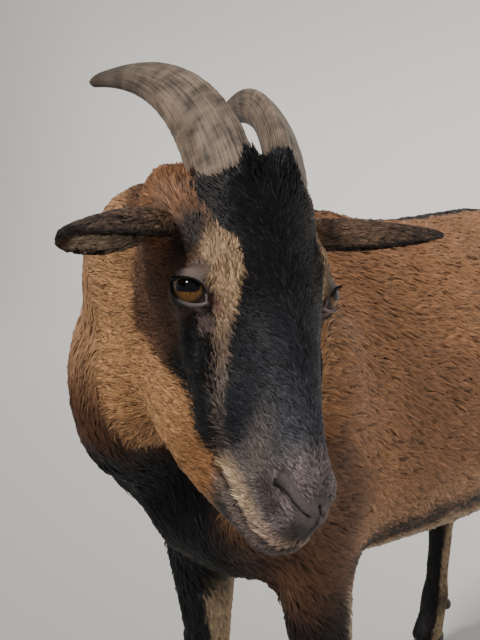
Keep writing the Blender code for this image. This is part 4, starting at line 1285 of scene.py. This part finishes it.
def make_collar(side):
    """Hair that lies up against the foot of the horn."""
    rng = np.random.default_rng(21)
    t, at, along, keel, flat, shrink = next(horn_line(side))
    count = 1700
    root, way, out, patch = [], [], [], []
    for a, back, side_step in zip(rng.uniform(0, 2 * math.pi, count), rng.uniform(-0.016, 0.003, count),
                                  rng.normal(0, 0.16, count)):
        edge = horn_edge(keel, flat, a)
        spot = on_side(at + along * back + edge * (1.06 + 12.0 * min(back, 0.0)), side)
        spot, normal, index, gap = work["tree"].find_nearest(work["turn"] @ spot + work["origin"])
        if gap > 0.006:
            continue
        edge = (work["turn"] @ on_side(edge, side)).normalized()
        ahead = work["turn"] @ on_side(along, side)
        root.append(spot - normal * 0.0004)
        way.append(ahead * 0.95 + edge * rng.uniform(0.02, 0.22) + edge.cross(ahead) * side_step)
        out.append((normal + edge).normalized())
        patch.append(work["uv"][index].mean(0))
    root, way, out, patch = np.array(root), unit(np.array(way)), np.array(out), np.array(patch)
    count = len(root)
    length = rng.uniform(0.006, 0.0125, count)[:, None]
    across = unit(np.cross(way, out)) * rng.uniform(0.0004, 0.0007, count)[:, None]
    mid = root + way * length * 0.5 + out * 0.0010
    tip = root + way * length + out * 0.0002
    points = np.stack([root - across, root + out * 0.0004, root + across, mid - across, mid + out * 0.0004,
                       mid + across, tip], 1)
    h = in_head(root)
    rusty = ramp(np.abs(h[:, 0]) - 0.6 * (h[:, 2] - 0.038), 0.038, 0.050)
    tone = mix(np.array(settings().black), HORN_FOOT_RUST, rusty * rng.uniform(0.3, 1.0, count))
    tone = tone * np.exp(rng.normal(0, 0.45, count))[:, None]
    tuft_piece(f"horn_collar_{side}", points, np.repeat(tone[:, None], 7, axis=1), patch)


def make_hoof(node):
    """The solid's own shape with its edges eased."""
    bm = merged([node])
    sharp = [e for e in bm.edges if len(e.link_faces) == 2 and e.calc_face_angle() > math.radians(38)]
    bmesh.ops.bevel(bm, geom=sharp, offset=0.0008, segments=2, affect="EDGES", profile=0.5)
    ob = object_from(bm, f"eased_{node}", hoof_material(), smooth=True)
    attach(ob, "root")
    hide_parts(node)


def make_floor():
    """A round pale floor that curves up into a wall."""
    around, radius, bend = 96, 4.6, 2.6
    profile = [(0.02, 0.0), (2.0, 0.0), (radius, 0.0)]
    turns = np.linspace(0.08, math.pi / 2, 16)
    profile += [(radius + bend * math.sin(a), bend - bend * math.cos(a)) for a in turns]
    profile.append((radius + bend, 7.0))
    verts = [(r * math.cos(2 * math.pi * k / around), r * math.sin(2 * math.pi * k / around), z)
             for r, z in profile for k in range(around)]
    faces = [tuple(reversed(range(around)))]
    for start in range(0, len(verts) - around, around):
        for k in range(around):
            a, b = start + k, start + (k + 1) % around
            faces.append((a, b, b + around, a + around))
    mesh = bpy.data.meshes.new("floor")
    mesh.from_pydata(verts, [], faces)
    for face in mesh.polygons:
        face.use_smooth = True
    mesh.materials.append(floor_material())
    return new_object("floor", mesh)


# ---------------------------------------------------------------- the add-on
def length_setting(name, what, metres):
    return FloatProperty(name=name, description=what, default=metres, unit="LENGTH")


def colour_setting(name, what, rgb):
    return FloatVectorProperty(name=name, description=what, default=rgb, subtype="COLOR")


class GoatSettings(bpy.types.PropertyGroup):
    face_hair: length_setting("Face hair", "Length of the hair on the face", 0.0068)
    neck_hair: length_setting("Neck hair", "Length of the hair on the neck", 0.019)
    body_hair: length_setting("Body hair", "Length of the hair on the trunk", 0.021)
    leg_hair: length_setting("Leg hair", "Length of the hair on the legs", 0.010)
    pupil_width: length_setting("Pupil width", "Long side of the pupil", 0.0160)
    pupil_height: length_setting("Pupil height", "Short side of the pupil", 0.0082)
    black: colour_setting("Black", "Blaze, leg fronts and spine", (0.0070, 0.0063, 0.0072))
    chestnut: colour_setting("Chestnut", "Trunk", (0.385, 0.180, 0.080))
    neck: colour_setting("Neck", "Neck", (0.370, 0.205, 0.112))
    gold: colour_setting("Gold", "Cheeks", (0.46, 0.242, 0.110))
    pale: colour_setting("Pale", "Stripes over the eyes", (0.44, 0.29, 0.165))
    tan: colour_setting("Tan", "Backs of the legs", (0.46, 0.34, 0.215))
    belly: colour_setting("Belly", "Belly", (0.42, 0.32, 0.22))
    iris: colour_setting("Iris", "Light part of the iris", (0.30, 0.145, 0.036))
    iris_dark: colour_setting("Iris flecks", "Dark part of the iris", (0.070, 0.028, 0.008))
    horn: colour_setting("Horn", "Horns", (0.215, 0.158, 0.117))
    horn_tip: colour_setting("Horn tip", "Tips of the horns", (0.040, 0.028, 0.021))
    key_light: FloatProperty(name="Key light", description="Strength of the key light", default=3.3)


def settings():
    return bpy.context.scene.goat_settings


class GOAT_OT_frame(bpy.types.Operator):
    """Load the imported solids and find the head's place among them"""
    bl_idname = "goat.frame"
    bl_label = "Load the solids"

    def execute(self, context):
        work["frame"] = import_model()
        work["start"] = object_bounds()
        work["turn"], work["origin"] = head_axes()
        work["eye_out"] = (middle_of("eye_left") - middle_of("eye_right")).length / 2
        low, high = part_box("hindquarters")
        work["spine"] = (low[0] + high[0]) / 2
        return {"FINISHED"}


class GOAT_OT_skin(bpy.types.Operator):
    """Make one skin in place of the flesh"""
    bl_idname = "goat.skin"
    bl_label = "Skin"

    def execute(self, context):
        make_skin()
        return {"FINISHED"}


class GOAT_OT_coat(bpy.types.Operator):
    """Cover the skin in tufts that follow the lie of the hair"""
    bl_idname = "goat.coat"
    bl_label = "Coat"

    def execute(self, context):
        w = work["weights"]
        make_tufts("face_coat", share_of(w, "head", "ear"), 11)
        make_tufts("neck_coat", share_of(w, "neck", "chest"), 12, lift=0.15)
        make_tufts("body_coat", share_of(w, "barrel", "hindquarters", "tail"), 13, lift=0.12)
        make_tufts("leg_coat", share_of(w, "foreleg", "hindleg"), 14, lift=0.14)
        return {"FINISHED"}


class GOAT_OT_eyes(bpy.types.Operator):
    """Make the eyeballs and their lashes"""
    bl_idname = "goat.eyes"
    bl_label = "Eyes"

    def execute(self, context):
        for side in SIDES:
            make_eye(side)
            make_lashes(side)
        return {"FINISHED"}


class GOAT_OT_horns(bpy.types.Operator):
    """Make the horns"""
    bl_idname = "goat.horns"
    bl_label = "Horns"

    def execute(self, context):
        for side in SIDES:
            make_horn(side)
            make_collar(side)
        return {"FINISHED"}


class GOAT_OT_hooves(bpy.types.Operator):
    """Make the hooves and dewclaws"""
    bl_idname = "goat.hooves"
    bl_label = "Hooves"

    def execute(self, context):
        for node in sorted(work["frame"]["nodes"]):
            if "hoof" in node or "dewclaw" in node:
                make_hoof(node)
        return {"FINISHED"}


class GOAT_OT_stage(bpy.types.Operator):
    """Set the floor, the light and the camera"""
    bl_idname = "goat.stage"
    bl_label = "Stage"

    def execute(self, context):
        scene = context.scene
        make_floor()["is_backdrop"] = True
        world = bpy.data.worlds.new("studio")
        scene.world = world
        world.use_nodes = True
        feed(world.node_tree.nodes["Background"], {"Color": ROOM_COLOUR, "Strength": ROOM_STRENGTH})
        eyes = work["origin"] - work["turn"] @ Vector((0, 0, EYE_DROP))
        spot = eyes + CAMERA_FROM_EYES
        data = bpy.data.lights.new("key", "SUN")
        data.energy = settings().key_light
        data.angle = math.radians(KEY_ANGLE)
        data.color = KEY_COLOUR
        key = new_object("key", data)
        key.rotation_euler = KEY_WAY.to_track_quat("-Z", "Y").to_euler()
        key.location = spot + Vector((-0.4, -2.0, 2.0))
        data = bpy.data.cameras.new("camera")
        data.lens, data.sensor_width = LENS_MM, SENSOR_MM
        camera = new_object("camera", data)
        turn, down = math.radians(CAMERA_TURN), math.radians(CAMERA_DOWN)
        view = Vector((-math.sin(turn) * math.cos(down), math.cos(turn) * math.cos(down), -math.sin(down)))
        camera.location = spot
        camera.rotation_euler = view.to_track_quat("-Z", "Y").to_euler()
        scene.camera = camera
        return {"FINISHED"}


STEPS = ("frame", "skin", "coat", "eyes", "horns", "hooves", "stage")


class GOAT_PT_panel(bpy.types.Panel):
    bl_label = "Chestnut goat"
    bl_idname = "GOAT_PT_panel"
    bl_space_type = "VIEW_3D"
    bl_region_type = "UI"
    bl_category = "Goat"

    def draw(self, context):
        for name in GoatSettings.__annotations__:
            self.layout.prop(context.scene.goat_settings, name)
        for step in STEPS:
            self.layout.operator(f"goat.{step}")


CLASSES = (GoatSettings, GOAT_OT_frame, GOAT_OT_skin, GOAT_OT_coat, GOAT_OT_eyes, GOAT_OT_horns,
           GOAT_OT_hooves, GOAT_OT_stage, GOAT_PT_panel)


def register():
    for cls in CLASSES:
        bpy.utils.register_class(cls)
    bpy.types.Scene.goat_settings = PointerProperty(type=GoatSettings)


def unregister():
    del bpy.types.Scene.goat_settings
    for cls in reversed(CLASSES):
        bpy.utils.unregister_class(cls)


def main():
    register()
    for step in STEPS:
        getattr(bpy.ops.goat, step)()


if __name__ == "__main__":
    main()
